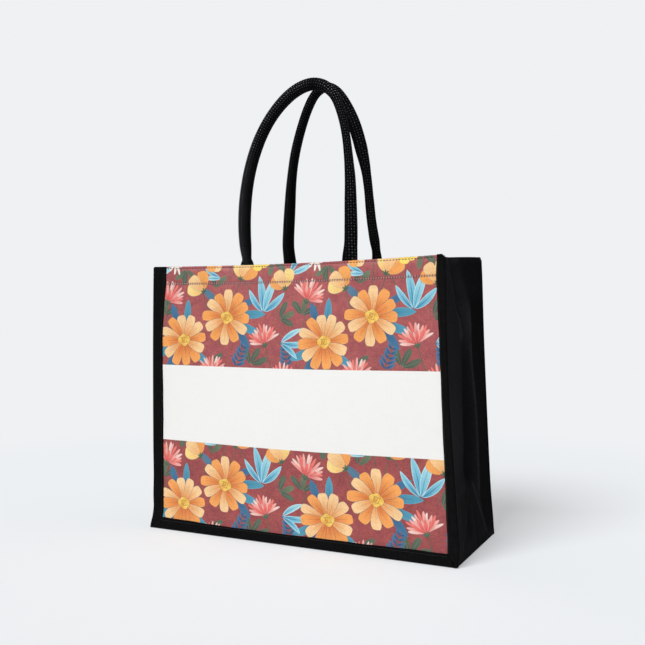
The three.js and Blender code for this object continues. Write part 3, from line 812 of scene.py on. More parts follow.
def zone_cdt(low, high, placed):
    """Triangles of one repeat between two heights, split along every outline."""
    verts, edges, faces = [], [], []

    def polygon(points):
        start = len(verts)
        verts.extend((float(a), float(b)) for a, b in points)
        faces.append(list(range(start, start + len(points))))

    xs = np.linspace(0, TILE_W, 27)
    if high > FOLD_START:
        ys = np.concatenate([np.linspace(low, FOLD_START, 18), np.linspace(FOLD_START, FOLD_END, 7)[1:],
                             np.linspace(FOLD_END, high, 4)[1:]])
        levels = [FOLD_START, FOLD_END] + [HEIGHT - HEM + d for d in (-2.2, -0.9, 0.0, 0.9, 2.2)]
        levels += [TOP_ROW, TOP_ROW + 0.9, TOP_ROW - 0.9]
    else:
        ys = np.linspace(low, high, 16)
        levels = []
    polygon([(x, low) for x in xs[:-1]] + [(TILE_W, y) for y in ys[:-1]]
            + [(x, high) for x in xs[:0:-1]] + [(0.0, y) for y in ys[:0:-1]])
    for c in placed:
        polygon(c["ring"])
    for level in levels:
        start = len(verts)
        fine = np.linspace(0, TILE_W, 52)
        verts.extend((float(x), float(level)) for x in fine)
        edges.extend((start + i, start + i + 1) for i in range(len(fine) - 1))
    gap = xs[1] - xs[0]
    for j, y in enumerate(ys[1:-1]):
        for x in xs[:-1]:
            verts.append((float(x + gap * (0.75 if j % 2 else 0.25)), float(y)))
    out = delaunay_2d_cdt([Vector(v) for v in verts], edges, faces, 0, 1e-4, True)
    tris, owner = [], []
    for f, orig in zip(out[2], out[5]):
        if len(f) == 3 and 0 in orig:
            tris.append(f)
            owner.append(max(orig))
    tris, owner = np.array(tris, int), np.array(owner, int)
    used = np.unique(tris)
    place = np.full(len(out[0]), -1)
    place[used] = np.arange(len(used))
    flat = np.array([(out[0][i].x, out[0][i].y) for i in used])
    return flat, place[tris], owner


def nearest(points, others):
    """For each of the points the number of the closest of the others, along y."""
    return [int(np.argmin(np.abs(others - p))) for p in points]


def whole_cloth():
    """Flat triangles of the printed side, each with its stroke's number (0 is
    the ground, 1 the white band), and the list of strokes."""
    flat = np.zeros((0, 2))
    tris, owner, all_strokes = [], [], []
    for low, high, placed in print_layout():
        f, t, o = zone_cdt(low, high, placed)
        left = np.where(f[:, 0] < 1e-5)[0]
        right = np.where(f[:, 0] > TILE_W - 1e-5)[0]
        base = len(flat)
        second = np.full(len(f), -1)
        near = nearest(f[left][:, 1], f[right][:, 1])
        if len(left) != len(right):
            print("seam", len(left), len(right))
        second[left] = right[near]
        f2 = f + np.array([TILE_W, 0.0])
        moved = np.where(second >= 0, base + second, base + len(f) + np.cumsum(second < 0) - 1)
        flat = np.concatenate([flat, f, f2[second < 0]])
        tris.append(base + t)
        tris.append(moved[t])
        for _ in range(2):
            owner.append(np.where(o > 0, o + 1 + len(all_strokes), 0))
            all_strokes += [dict(c, x=c["x"] + _ * TILE_W) for c in placed]
    # the white band between the two edges that the zones leave
    low = np.where(np.abs(flat[:, 1] - BAND[0]) < 1e-5)[0]
    high = np.where(np.abs(flat[:, 1] - BAND[1]) < 1e-5)[0]
    low = low[np.argsort(flat[low, 0])]
    high = high[np.argsort(-flat[high, 0])]
    ys = np.linspace(*BAND, 14)[1:-1]
    ring = [tuple(flat[i]) for i in low] + [(CLOTH_W, y) for y in ys] + [tuple(flat[i]) for i in high]
    ring += [(0.0, y) for y in ys[::-1]]
    known = list(low) + [-1] * len(ys) + list(high) + [-1] * len(ys)
    extra = [(float(x), float(y)) for y in ys for x in np.linspace(0, CLOTH_W, 50)[1:-1]]
    out = delaunay_2d_cdt([Vector(v) for v in ring + extra], [], [list(range(len(ring)))], 1, 1e-6, True)
    index = []
    added = []
    for i, orig in enumerate(out[3]):
        match = [known[o] for o in orig if o < len(ring) and known[o] >= 0]
        if match:
            index.append(match[0])
        else:
            index.append(len(flat) + len(added))
            added.append((out[0][i].x, out[0][i].y))
    flat = np.concatenate([flat, np.array(added)])
    index = np.array(index)
    band = index[np.array([f for f in out[2] if len(f) == 3])]
    tris.append(band)
    owner.append(np.ones(len(band), int))
    return flat, np.concatenate(tris), np.concatenate(owner), all_strokes


def open_edges(faces):
    """Edges that only one face has."""
    count = {}
    for f in faces:
        for i in range(len(f)):
            key = (min(f[i], f[i - 1]), max(f[i], f[i - 1]))
            count[key] = count.get(key, 0) + 1
    return [k for k, c in count.items() if c == 1]


def thickness_path(t):
    """For cloth height t: depth behind the panel face, row height, and the way
    that the printed side faces (depth, row), for the sheet folded at the hem."""
    t = np.asarray(t, float)
    g, row = np.zeros_like(t), t.copy()
    ng, nr = -np.ones_like(t), np.zeros_like(t)
    arc = (t > FOLD_START) & (t < FOLD_END)
    a = (t - FOLD_START) / HEM_FOLD
    g = np.where(arc, HEM_FOLD - HEM_FOLD * np.cos(a), g)
    row = np.where(arc, FOLD_START + HEM_FOLD * np.sin(a), row)
    ng = np.where(arc, -np.cos(a), ng)
    nr = np.where(arc, np.sin(a), nr)
    down = t >= FOLD_END
    g = np.where(down, 2 * HEM_FOLD, g)
    row = np.where(down, FOLD_START - (t - FOLD_END), row)
    ng = np.where(down, 1.0, ng)
    nr = np.where(down, 0.0, nr)
    return g, row, ng, nr


def hem_groove(t, s):
    """How far the stitching pulls the cloth in: at the hem line and at the top."""
    line = HEIGHT - HEM
    pull = 0.45 * gauss(t, line, 1.0) + 0.25 * gauss(t, TOP_ROW, 0.8)
    swell = -0.22 * ease((t - line) / 5.0) * ease((FOLD_START - t) / 5.0) * (1 + 0.5 * np.sin(s / 7.0))
    return pull + np.where(t < FOLD_START, swell, 0.0)


def band_sag(s, t):
    """The print sags a little in the middle of the panel, ends held."""
    return 1.6 * np.sin(np.pi * clamp01(s / CLOTH_W)) ** 1.4 * ease(t / 90.0) * ease((335.0 - t) / 100.0)


def sheet_point(side, s, t, ply):
    """Point of the printed cloth: ply 0 is its printed side, 1 its back."""
    g, row, ng, nr = thickness_path(t)
    row = row - band_sag(s, t) + 1.4 * (1 - clamp01(t / 12.0))
    g = g + ply * PLY * (-ng) + np.where(t < FOLD_START, hem_groove(t, s), 0.0)
    row = row - ply * PLY * nr
    row = row - 0.9 * np.exp(-np.minimum(s, CLOTH_W - s) / 5.0) * ease((t - 300) / 30)
    look_row = np.minimum(row, HEIGHT)
    l, r = left_x(side, look_row) + 0.9, right_x(side, look_row) - 0.9
    f = s / CLOTH_W
    x = l + (r - l) * (f if side == "front" else 1 - f)
    p = face_point(side, x, look_row, FACE_SET + g)
    return p


def make_panel(side, flat, tris, owner, placed, materials):
    outer = sheet_point(side, flat[:, 0], flat[:, 1], 0.0)
    eps = 1e-3
    d = 0.4
    ds = (sheet_point(side, flat[:, 0] + d, flat[:, 1], 0.0) - sheet_point(side, flat[:, 0] - d, flat[:, 1], 0.0))
    dt = (sheet_point(side, flat[:, 0], flat[:, 1] + d, 0.0) - sheet_point(side, flat[:, 0], flat[:, 1] - d, 0.0))
    normal = np.cross(ds, dt)
    normal /= np.linalg.norm(normal, axis=1)[:, None]

    # the border in order, then the back of the sheet on the same border
    x, y = flat[:, 0], flat[:, 1]
    low = [i for i in np.where(y < eps)[0]]
    high = [i for i in np.where(y > CLOTH_H - eps)[0]]
    left = [i for i in np.where((x < eps) & (y > eps) & (y < CLOTH_H - eps))[0]]
    right = [i for i in np.where((x > CLOTH_W - eps) & (y > eps) & (y < CLOTH_H - eps))[0]]
    border = (sorted(low, key=lambda i: x[i]) + sorted(right, key=lambda i: y[i])
              + sorted(high, key=lambda i: -x[i]) + sorted(left, key=lambda i: -y[i]))
    verts2 = [(float(x[i]), float(y[i])) for i in border]
    gx = np.linspace(0, CLOTH_W, 40)[1:-1]
    gy = np.concatenate([np.linspace(0, FOLD_START, 42)[1:], np.linspace(FOLD_START, FOLD_END, 7)[1:],
                         np.linspace(FOLD_END, CLOTH_H, 5)[1:-1]])
    extra = [(float(a), float(b)) for b in gy for a in gx]
    out = delaunay_2d_cdt([Vector(v) for v in verts2 + extra], [], [list(range(len(border)))], 1, 1e-4, True)
    flat2 = np.array([(v.x, v.y) for v in out[0]])
    back = sheet_point(side, flat2[:, 0], flat2[:, 1], 1.0)
    base = len(flat)
    where = {}
    for i, orig in enumerate(out[3]):
        for o in orig:
            if o < len(border):
                where[o] = base + i
    tris2 = [[base + f[0], base + f[2], base + f[1]] for f in out[2] if len(f) == 3]
    rim = []
    for i in range(len(border)):
        j = (i + 1) % len(border)
        rim.append([border[j], border[i], where[i], where[j]])
    faces = [list(t) for t in tris] + tris2 + rim
    verts = np.concatenate([outer, back])
    turned = volume(verts, faces) < 0
    if turned:
        faces = [f[::-1] for f in faces]
    face_material = np.array([0] * len(tris) + [1] * len(tris2) + [1] * len(rim))
    obj = new_object(f"{side}_panel_cloth", verts, faces, materials, True, face_material)

    mesh = obj.data
    count = len(mesh.loops)
    loop_vert = np.zeros(count, np.int32)
    mesh.loops.foreach_get("vertex_index", loop_vert)
    flat_all = np.concatenate([flat, flat2])
    cloth = np.zeros((len(flat_all), 3))
    cloth[:, :2] = flat_all
    point_vector(obj, "cloth", cloth)

    # per corner: where it lies in its stroke, and that stroke's shape and paints
    L = np.full(len(placed) + 2, 1000.0)
    W = np.full(len(placed) + 2, 1000.0)
    B = np.zeros(len(placed) + 2)
    ea = np.zeros(len(placed) + 2)
    eb = np.zeros(len(placed) + 2)
    streak = np.zeros(len(placed) + 2)
    fx = np.zeros((len(placed) + 2, 3))
    ca = np.zeros((len(placed) + 2, 4)); cb = ca.copy(); cr = ca.copy(); cm = ca.copy()
    ox = np.zeros(len(placed) + 2); oy = ox.copy(); ct = np.ones(len(placed) + 2); st = ox.copy()
    seed = np.zeros(len(placed) + 2)
    for k, colour in ((0, MAROON), (1, WHITE)):
        for arr in (ca, cb, cr, cm):
            arr[k] = (*colour, 1)
    for i, c in enumerate(placed):
        k = i + 2
        L[k], W[k], B[k], ea[k], eb[k] = c["L"], c["Wn"], c["B"], c["a"], c["b"]
        streak[k] = c["look"]["streak"]
        fx[k] = c["look"]["fx"]
        ca[k] = (*c["look"]["a"], 1); cb[k] = (*c["look"]["b"], 1)
        cr[k] = (*c["look"]["rim"], 1); cm[k] = (*c["look"]["mid"], 1)
        ox[k], oy[k], ct[k], st[k] = c["x"], c["y"], math.cos(c["t"]), math.sin(c["t"])
        seed[k] = (i * 7.31) % 97.0
    k = np.concatenate([np.repeat(owner, 3), np.zeros(count - 3 * len(tris), int)])
    pt = flat_all[loop_vert]
    dx, dy = pt[:, 0] - ox[k], pt[:, 1] - oy[k]
    p, q = dx * ct[k] + dy * st[k], -dx * st[k] + dy * ct[k]

    def corner_vector(name, a, b, c):
        at = mesh.attributes.new(name, "FLOAT_VECTOR", "CORNER")
        at.data.foreach_set("vector", np.stack([a, b, c], -1).astype(np.float32).ravel())

    def corner_colour(name, values):
        at = mesh.attributes.new(name, "FLOAT_COLOR", "CORNER")
        at.data.foreach_set("color", values[k].astype(np.float32).ravel())

    corner_vector("pqs", p, q, seed[k])
    corner_vector("lwb", L[k], W[k], B[k])
    corner_vector("abk", ea[k], eb[k], streak[k])
    corner_vector("fx", fx[k, 0], fx[k, 1], fx[k, 2])
    for name, values in (("col_a", ca), ("col_b", cb), ("col_rim", cr), ("col_mid", cm)):
        corner_colour(name, values)
    for name, value in (("white", 1), ("ground", 0)):
        at = mesh.attributes.new(name, "FLOAT", "CORNER")
        at.data.foreach_set("value", (k == value).astype(np.float32))

    # exact normals of the smooth sheet on the printed side
    normals = np.zeros((len(verts), 3))
    a, b, c = (outer[tris[:, i]] for i in range(3))
    facing = np.einsum("ij,ij->i", np.cross(b - a, c - a), normal[tris[:, 0]]).sum()
    sign = (1.0 if facing > 0 else -1.0) * (-1.0 if turned else 1.0)
    normals[:len(flat)] = normal * sign
    loop_normals = np.zeros((count, 3))
    loop_normals[:3 * len(tris)] = normals[loop_vert[:3 * len(tris)]]
    mesh.normals_split_custom_set(loop_normals.tolist())
    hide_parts(f"{side}_panel")
    return obj


# ------------------------------------------------------------------ strips
def strip_rings(side, hand):
    """Upright binding strip, folded round the corner of the bag."""
    d = 1.0 if hand == "left" else -1.0
    rows = np.concatenate([[0.6, 1.2, 2.0], np.linspace(3.0, 14.0, 9), np.linspace(18, 346, 110), [348.2, 349.2, 349.8, 350.0]])
    rings = []
    for row in rows:
        full = float(strip_width[hand](row))
        w = max(full * row / BASE_STRIP, 4.6) - 0.03 if row < BASE_STRIP else full
        wob = 0.25 * math.sin(row / 23.0 + (0 if hand == "left" else 2)) + 0.12 * math.sin(row / 7.1)
        if row > BASE_STRIP:
            w += wob
        a, b, c = w - 1.0, 3.2 + (w - 4.2) * 0.66, 3.2 + (w - 4.2) * 0.33
        outer = [(w, 1.50), (w - 0.08, 0.85), (w - 0.35, 0.32), (a, 0.05), (b, -0.05), (c, -0.05), (3.2, 0.0),
                 (1.9, 0.12), (1.0, 0.52), (0.42, 1.15), (0.12, 1.95), (0.0, 2.9), (0.05, 4.2), (0.2, 5.3)]
        inner = [(1.15, 5.3), (1.1, 4.2), (1.1, 3.0), (1.3, 2.1), (1.8, 1.55), (3.2, 1.45), (c, 1.45), (b, 1.45), (a, 1.5)]
        loop = np.array(outer + inner)
        if row > 349.0:                                   # the end is turned in
            k = {349.2: 0.96, 349.8: 0.80, 350.0: 0.45}[float(row)]
            mid = np.array([(w + 0.1) / 2, 0.75])
            loop[:, 1] = mid[1] + (loop[:, 1] - mid[1]) * np.where(loop[:, 0] > 2.0, k, 0.5 + 0.5 * k)
            loop[:, 0] = mid[0] + (loop[:, 0] - mid[0]) * (0.9 + 0.1 * k)
        # the turned end stands a little higher and rounds down over the corner
        ends = (0.4 if hand == "right" else -0.1) * ease((row - 335) / 14) * np.ones(len(loop))
        ends = ends - (4.1 if hand == "right" else 1.4) * ease((row - 330) / 20) * ease((3.6 - loop[:, 0]) / 4.2)
        x = (left_x(side, row) if hand == "left" else right_x(side, row)) + d * loop[:, 0]
        pts = face_point(side, x, np.full(len(x), row), loop[:, 1])
        # over the corner the cloth follows the bag's side
        pts[:, 2] += ends
        rings.append(pts)
    return np.array(rings), rows


def make_strip(side, hand, material):
    rings, rows = strip_rings(side, hand)
    verts, faces = sweep(rings)
    faces = outward(verts, faces)
    obj = new_object(f"{side}_strip_{hand}_cloth", verts, faces, [material])
    size = rings.shape[1]
    girth = np.concatenate([[0], np.cumsum(np.linalg.norm(np.diff(rings[60], axis=0), axis=1))])
    cloth = np.stack([np.tile(girth, len(rows)), np.repeat(rows, size), np.zeros(len(verts))], -1)
    point_vector(obj, "cloth", cloth)
    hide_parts(f"{side}_strip_{hand}")
    return obj


BASE_WAVE = smooth_curve([0, 0.15, 0.3, 0.45, 0.6, 0.75, 0.87, 1], [1.7, 0.8, -0.2, -0.3, 0.1, 0.3, 0.9, 0.8])


def make_base_strip(side, material):
    columns = 120
    outer = [(14.0, 1.50), (13.92, 0.85), (13.65, 0.32), (13.0, 0.05), (9.5, -0.05), (6.0, -0.05), (3.0, 0.0),
             (1.8, 0.14), (0.95, 0.55), (0.40, 1.15), (0.10, 1.95), (0.0, 2.6), (0.0, 3.2)]
    inner = [(0.95, 3.2), (1.0, 2.4), (1.35, 1.8), (2.2, 1.5), (3.2, 1.45), (6.0, 1.45), (9.5, 1.45), (13.0, 1.5)]
    loop = np.array(outer + inner)
    rings = []
    for i in range(columns):
        u = i / (columns - 1)
        row = loop[:, 0]
        t = np.clip(row / BASE_STRIP, 0, 1)
        start = left_x(side, row) + np.maximum(t * strip_width["left"](row), 4.6) + 0.03
        end = right_x(side, row) - np.maximum(t * strip_width["right"](row), 4.6) - 0.03
        x = start + (end - start) * u
        wave = 0.15 * math.sin(i / 5.3) + 0.12 * math.sin(i / 2.1 + 1) + float(BASE_WAVE(u))
        row2 = row + wave * clamp01((row - 9) / 4)
        p = face_point(side, x, row2, loop[:, 1])
        rings.append(p)
    verts, faces = sweep(rings)
    faces = outward(verts, faces)
    obj = new_object(f"{side}_strip_base_cloth", verts, faces, [material])
    size = len(loop)
    girth = np.concatenate([[0], np.cumsum(np.linalg.norm(np.diff(loop, axis=0), axis=1))])
    cloth = np.stack([np.tile(girth, columns), np.array(rings)[:, :, 0].ravel(), np.zeros(len(verts))], -1)
    point_vector(obj, "cloth", cloth)
    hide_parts(f"{side}_strip_base")
    return obj


# ------------------------------------------------------------------ gussets
def blur(grid, sigma, axis):
    """Gaussian smoothing along one axis, ends held."""
    reach = max(1, int(math.ceil(sigma * 3)))
    k = np.exp(-0.5 * (np.arange(-reach, reach + 1) / sigma) ** 2)
    k /= k.sum()
    moved = np.moveaxis(grid, axis, 0)
    padded = np.concatenate([2 * moved[:1] - moved[reach:0:-1], moved, 2 * moved[-1:] - moved[-2:-reach - 2:-1]])
    out = sum(k[i] * padded[i:i + len(moved)] for i in range(len(k)))
    return np.moveaxis(out, 0, axis)


# Where the right gusset's front ridge (which turns into the centre crease) and
# its back ridge run: y at each height.
FRONT_RIDGE = smooth_curve([0, 30, 60, 86, 131, 203, 251, 265, 278, 291, 317, 327, 343, 350],
                           [-22, -25, -27, -12, 5.7, 6.5, 5, 4.5, 1, -9, -21, -26, -37, -42])
RIDGE_Y = smooth_curve([0, 63, 114, 165, 202, 244, 272, 292, 306, 330, 350],
                       [46, 41, 43, 40, 34, 30, 32, 29, 23, 15, 10])


def gusset_depth(hand, Y, Z):
    """How far the gusset is folded in (mm) at Y from front to back and height Z."""
    right = hand == "right"
    crease = smooth_curve([0, 80, 100, 172, 261, 350], [0, 7, 12, 11, 9, 15] if right else [0, 8, 13, 12, 9, 13])
    # the sharp ridge behind the centre crease, and how far in it is
    if right:
        ridge_y = RIDGE_Y
        ridge_d = smooth_curve([0, 63, 80, 165, 252, 296, 350], [0, 4.2, 3.6, 2.4, 3.2, 4.6, 10.0])
        centre_y = smooth_curve([0, 80, 130, 203, 261, 350], [-8, -4, 3, 4, 2, 0])
        apex, foot_f, foot_b = 80.0, -84.0, 56.0
    else:
        ridge_y = smooth_curve([0, 70, 165, 252, 350], [-40, -30, -33, -20, -6])
        ridge_d = smooth_curve([0, 70, 165, 252, 350], [0, 5.0, 4.2, 5.5, 11.6])
        centre_y = smooth_curve([0, 80, 172, 261, 350], [-2, 0, 2, 1, -2])
        apex, foot_f, foot_b = 80.0, -70.0, 80.0
    cy, cd = centre_y(Z), crease(Z)
    ry, rd = ridge_y(Z), ridge_d(Z)
    F, Bk = -80.0 + (350 - Z) * 0 , 80.0
    front = cd * (Y - F) / (cy - F)
    if right:
        a = cd + (rd - cd) * (Y - cy) / (ry - cy)
        b = rd * (Bk - Y) / (Bk - ry)
        back = np.where(Y < ry, a, b)
        depth = np.where(Y < cy, front, back)
        # upper front facet: a ridge runs down from the corner, the cloth drops behind it
        over = np.maximum(0.0, Y - FRONT_RIDGE(Z))
        depth = depth + 2.8 * (1 - np.exp(-over / 4.0)) * ease((38 - Y) / 40.0) * ease((Z - 250) / 30)
    else:
        a = rd * (Y - F) / (ry - F)
        b = rd + (cd - rd) * (Y - ry) / (cy - ry)
        depth = np.where(Y < ry, a, np.where(Y < cy, b, cd * (Bk - Y) / (Bk - cy)))
        line = 320.0 - (80.0 - Y) * (60.0 / 78.0)
        over = np.maximum(0.0, Z - line)
        depth = depth + 2.2 * (1 - np.exp(-over / 12.0)) * ease((Y + 30) / 60.0) * ease((80 - Y) / 10)
    # the flat triangle that opens under the fold
    lf = apex * (Y - foot_f) / (0 - foot_f)
    lb = apex * (foot_b - Y) / foot_b
    leg = np.minimum(lf, lb)
    inside = ease((leg - Z) / 7.0)
    low = float(crease(apex))
    plane = low * clamp01(Z / apex) * 0.9
    soft = 1.2 * gauss(Y, 4, 5) * ease((60 - Z) / 40)            # the old crease still shows in it
    depth = depth * (1 - inside) + (plane + soft) * inside
    # slack lobe near the top and small buckles
    if right:
        depth = depth - 2.6 * gauss(Y, 18, 13) * gauss(Z, 276, 30)
    depth = depth + 0.35 * np.sin(Z / 21.0 + Y / 17.0) * np.sin(Y / 29.0 + 1.0) * ease((80 - abs(Y)) / 25)
    return np.maximum(depth, 0.0) * ease((Z - 2) / 4)


def make_gusset(hand, material):
    out_dir = 1.0 if hand == "right" else -1.0
    cols, n_rows = 150, 230
    inset = 5.35
    v = np.linspace(0, 1, cols)
    row = np.linspace(2.2, HEIGHT, n_rows)
    V, R = np.meshgrid(v, row)
    f = corner["fr" if hand == "right" else "fl"](R)
    b = corner["br" if hand == "right" else "bl"](R)
    y0 = corner["yf"](R) + inset
    y1 = corner["yb"](R) - inset
    Y = y0 + (y1 - y0) * V
    depth = gusset_depth(hand, Y, R)
    depth = blur(depth, 1.7, 1)
    depth = blur(depth, 2.0, 0)
    side_edge = ease(np.minimum(Y - y0, y1 - Y) / 5.0)
    depth = depth * side_edge
    top_f = PANELS["front"]["top_right" if hand == "right" else "top_left"]
    top_b = PANELS["back"]["top_right" if hand == "right" else "top_left"]
    top = top_f + (top_b - top_f) * V - 1.85 - 1.2 * gauss(V, 0.0, 0.10) + 2.5 * ease((V - 0.05) / 0.95)
    # hem of the gusset: folded inside, a slight step shows along its stitching
    hem = 0.35 * gauss(R, HEIGHT - HEM, 1.3)
    X = f + (b - f) * V - out_dir * (0.45 + depth + hem)
    Z = rise(R, top)
    outer = np.stack([X + SHIFT, Y, Z], -1)

    dz = np.gradient(outer, axis=0)
    dy = np.gradient(outer, axis=1)
    n = np.cross(dy, dz)
    n /= np.linalg.norm(n, axis=2)[..., None]
    if n[:, :, 0].mean() * out_dir < 0:
        n = -n
    plies = 1.0 + ease((R - (HEIGHT - HEM)) / 1.5)
    inner = outer - n * (1.05 * plies)[..., None]
    # round the top edge
    edge = np.clip((R - (HEIGHT - 2.2)) / 2.2, 0, 1)
    mid = (outer + inner) / 2
    pinch = 1 - np.sqrt(np.maximum(0, 1 - edge ** 2)) * 0.999
    outer = outer + (mid - outer) * (pinch * 0.75)[..., None]
    inner = inner + (mid - inner) * (pinch * 0.75)[..., None]
    verts = np.concatenate([outer.reshape(-1, 3), inner.reshape(-1, 3)])
    N = cols * n_rows
    fo = grid_faces(n_rows, cols).tolist()
    fi = grid_faces(n_rows, cols, N, flip=True).tolist()
    rim = []
    for c in range(cols - 1):
        rim.append([c + 1, c, N + c, N + c + 1])
        t = (n_rows - 1) * cols + c
        rim.append([t, t + 1, N + t + 1, N + t])
    for r in range(n_rows - 1):
        a0, a1 = r * cols, (r + 1) * cols
        rim.append([a0, a1, N + a1, N + a0])
        b0, b1 = a0 + cols - 1, a1 + cols - 1
        rim.append([b1, b0, N + b0, N + b1])
    faces = outward(verts, fo + fi + rim)
    obj = new_object(f"{hand}_gusset_cloth", verts, faces, [material])
    cloth = np.stack([Y.ravel() + 85, R.ravel(), np.zeros(N)], -1)
    cloth2 = cloth.copy()
    cloth2[:, 2] = 40
    point_vector(obj, "cloth", np.concatenate([cloth, cloth2]))
    # painted light and shade: faces of the folds that turn to the light are painted paler, recesses darker
    painted_light_shade = np.ones_like(Y)
    if hand == "right":
        first, second = FRONT_RIDGE(R), RIDGE_Y(R)
        across_ = clamp01((Y - first) / (second - first))
        front_part = ease((first - Y) / 3.0 + 0.5)
        back_part = ease((Y - second) / (3.0 + 9.0 * ease((R - 276) / 24)) + 0.5)
        lobe = gauss(R, 276, 28)
        middle = 1.0 - 0.18 * ease((200 - R) / 50) + across_ ** 2 * (0.85 - 0.5 * ease((R - 250) / 30))
        middle = middle + lobe * (1.15 + 0.7 * across_) + 0.75 * ease((R - 300) / 20)
        middle = middle - 0.8 * gauss(Y, first + 6, 4) * ease((R - 262) / 20) - 0.4 * across_ * ease((R - 305) / 20)
        painted_light_shade = smooth_curve([0, 50, 95, 145, 200, 240, 350], [1.5, 1.5, 1.6, 2.1, 1.72, 1.62, 1.6])(R)
        painted_light_shade = painted_light_shade + 0.5 * gauss(Y, -70, 4) * gauss(R, 165, 45)
        painted_light_shade = painted_light_shade + (middle - painted_light_shade) * (1 - front_part)
        behind = 0.58 + 0.10 * ease((70 - R) / 12) + 0.42 * ease((R - 288) / 26) * (0.75 + 0.5 * gauss(Y, second, 16))
        painted_light_shade = painted_light_shade + (behind - painted_light_shade) * back_part
        # soft highlights where the cloth is sharply turned
        painted_light_shade = painted_light_shade + (2.3 + 1.8 * ease((R - 285) / 20)) * gauss(Y, first - 1.0, 3.0) * ease((R - 246) / 14)
        painted_light_shade = painted_light_shade + 1.5 * gauss(Y, second - 2.0, 2.8) * ease((250 - R) / 10) * ease((R - 60) / 10)
        leg = (Y - 14.0) * 63.0 / 72.6 + (R - 77.0) * 36.0 / 72.6
        on_leg = ease((82 - R) / 6) * ease((R - 6) / 6)
        inside_v = ease((78 - R) / 8) * ease(-leg / 3.0 + 0.5) * ease((Y + 62) / 12)
        low_ = 1.12 + 0.25 * ease((26 - R) / 16) - 0.55 * gauss(Y, -22, 10) * ease((R - 16) / 12)
        painted_light_shade = painted_light_shade + (low_ - painted_light_shade) * inside_v
        painted_light_shade = painted_light_shade + 1.9 * gauss(leg, -0.5, 2.3) * on_leg
        painted_light_shade = painted_light_shade + 0.9 * ease((12 - R - (80 - Y) * 0.12) / 4) * ease((Y - 50) / 5)
        painted_light_shade = painted_light_shade * (1 + 0.35 * ease((R - 342) / 4)) * 1.09
    else:
        # painted light and shade on the left gusset: darker in the middle of the fold, painted highlights along the
        # ridge, the legs of the fold and the top fold
        ridge = smooth_curve([0, 70, 165, 252, 350], [-40, -30, -33, -20, -6])(R)
        middle_y = smooth_curve([0, 80, 172, 261, 350], [-2, 0, 2, 1, -2])(R)
        fold = ease((R - 74) / 10)
        painted_light_shade = 1.75 - 0.75 * gauss(Y, (ridge + middle_y) / 2 + 2, 20) * fold
        painted_light_shade = painted_light_shade + 1.1 * gauss(Y, ridge - 1.5, 2.8) * fold
        painted_light_shade = painted_light_shade - 0.5 * gauss(Y, middle_y + 3, 5) * fold + 0.5 * gauss(Y, middle_y + 14, 9) * fold
        for foot in (-70.0, 80.0):
            run = math.hypot(foot, 80.0)
            away = ((Y * 80.0 + (R - 80.0) * foot) / run) * (1 if foot > 0 else -1)
            painted_light_shade = painted_light_shade + 1.2 * gauss(away, -0.5, 2.3) * ease((82 - R) / 6) * ease((R - 6) / 6) * ((Y > 0) == (foot > 0))
        line = 320.0 - (80.0 - Y) * (60.0 / 78.0)
        painted_light_shade = painted_light_shade + 1.0 * gauss(R - line, 1.0, 4.0) * ease((Y + 20) / 40.0) * ease((76 - Y) / 10)
        painted_light_shade = painted_light_shade + 0.5 * ease((R - 342) / 4)
    painted_light_shade = np.clip(painted_light_shade, 0.35, 4.0)
    point_value(obj, "painted_light_shade", np.concatenate([painted_light_shade.ravel(), np.ones(N)]))
    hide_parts(f"{hand}_gusset")
    return obj


# ------------------------------------------------------------------ base
def make_base(material):
    inset = 3.5
    cols, n_rows = 90, 40
    x0 = float(corner["fl"](0)) + 0.6 + SHIFT
    x1 = float(corner["fr"](0)) - 0.9 + SHIFT
    y0 = float(corner["yf"](0)) + inset + 0.15
    y1 = float(corner["yb"](0)) - inset - 0.15
    bx0 = float(corner["bl"](0)) + 0.6 + SHIFT
    bx1 = float(corner["br"](0)) - 0.9 + SHIFT
    U, V = np.meshgrid(np.linspace(0, 1, cols), np.linspace(0, 1, n_rows))
    Y = y0 + (y1 - y0) * V
    L_, R_ = x0 + (bx0 - x0) * V, x1 + (bx1 - x1) * V
    X = L_ + (R_ - L_) * U
    edge = np.minimum(np.minimum(X - L_, R_ - X), np.minimum(Y - y0, y1 - Y))
    lift = 0.35 * ease(1 - edge / 3.0)
    wave = 0.12 * np.sin(X / 31.0) * np.sin(Y / 19.0) * ease(edge / 10)
    under = np.stack([X, Y, 0.02 + lift], -1)
    upper = np.stack([X, Y, 1.45 + wave - 0.3 * ease(1 - edge / 3.0)], -1)
    N = cols * n_rows
    verts = np.concatenate([upper.reshape(-1, 3), under.reshape(-1, 3)])
    faces = grid_faces(n_rows, cols).tolist() + grid_faces(n_rows, cols, N, flip=True).tolist()
    for c in range(cols - 1):
        faces.append([c + 1, c, N + c, N + c + 1])
        t = (n_rows - 1) * cols + c
        faces.append([t, t + 1, N + t + 1, N + t])
    for r in range(n_rows - 1):
        a0, a1 = r * cols, (r + 1) * cols
        faces.append([a0, a1, N + a1, N + a0])
        b0, b1 = a0 + cols - 1, a1 + cols - 1
        faces.append([b1, b0, N + b0, N + b1])
    faces = outward(verts, faces)
    obj = new_object("base_cloth", verts, faces, [material])
    cloth = np.stack([X.ravel() + 220, Y.ravel() + 90, np.zeros(N)], -1)
    point_vector(obj, "cloth", np.concatenate([cloth, cloth + np.array([0, 0, 30.0])]))
    # no painted light or shade on the base: its factor is 1 everywhere
    point_value(obj, "painted_light_shade", np.ones(2 * N))
    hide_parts("base")
    return obj


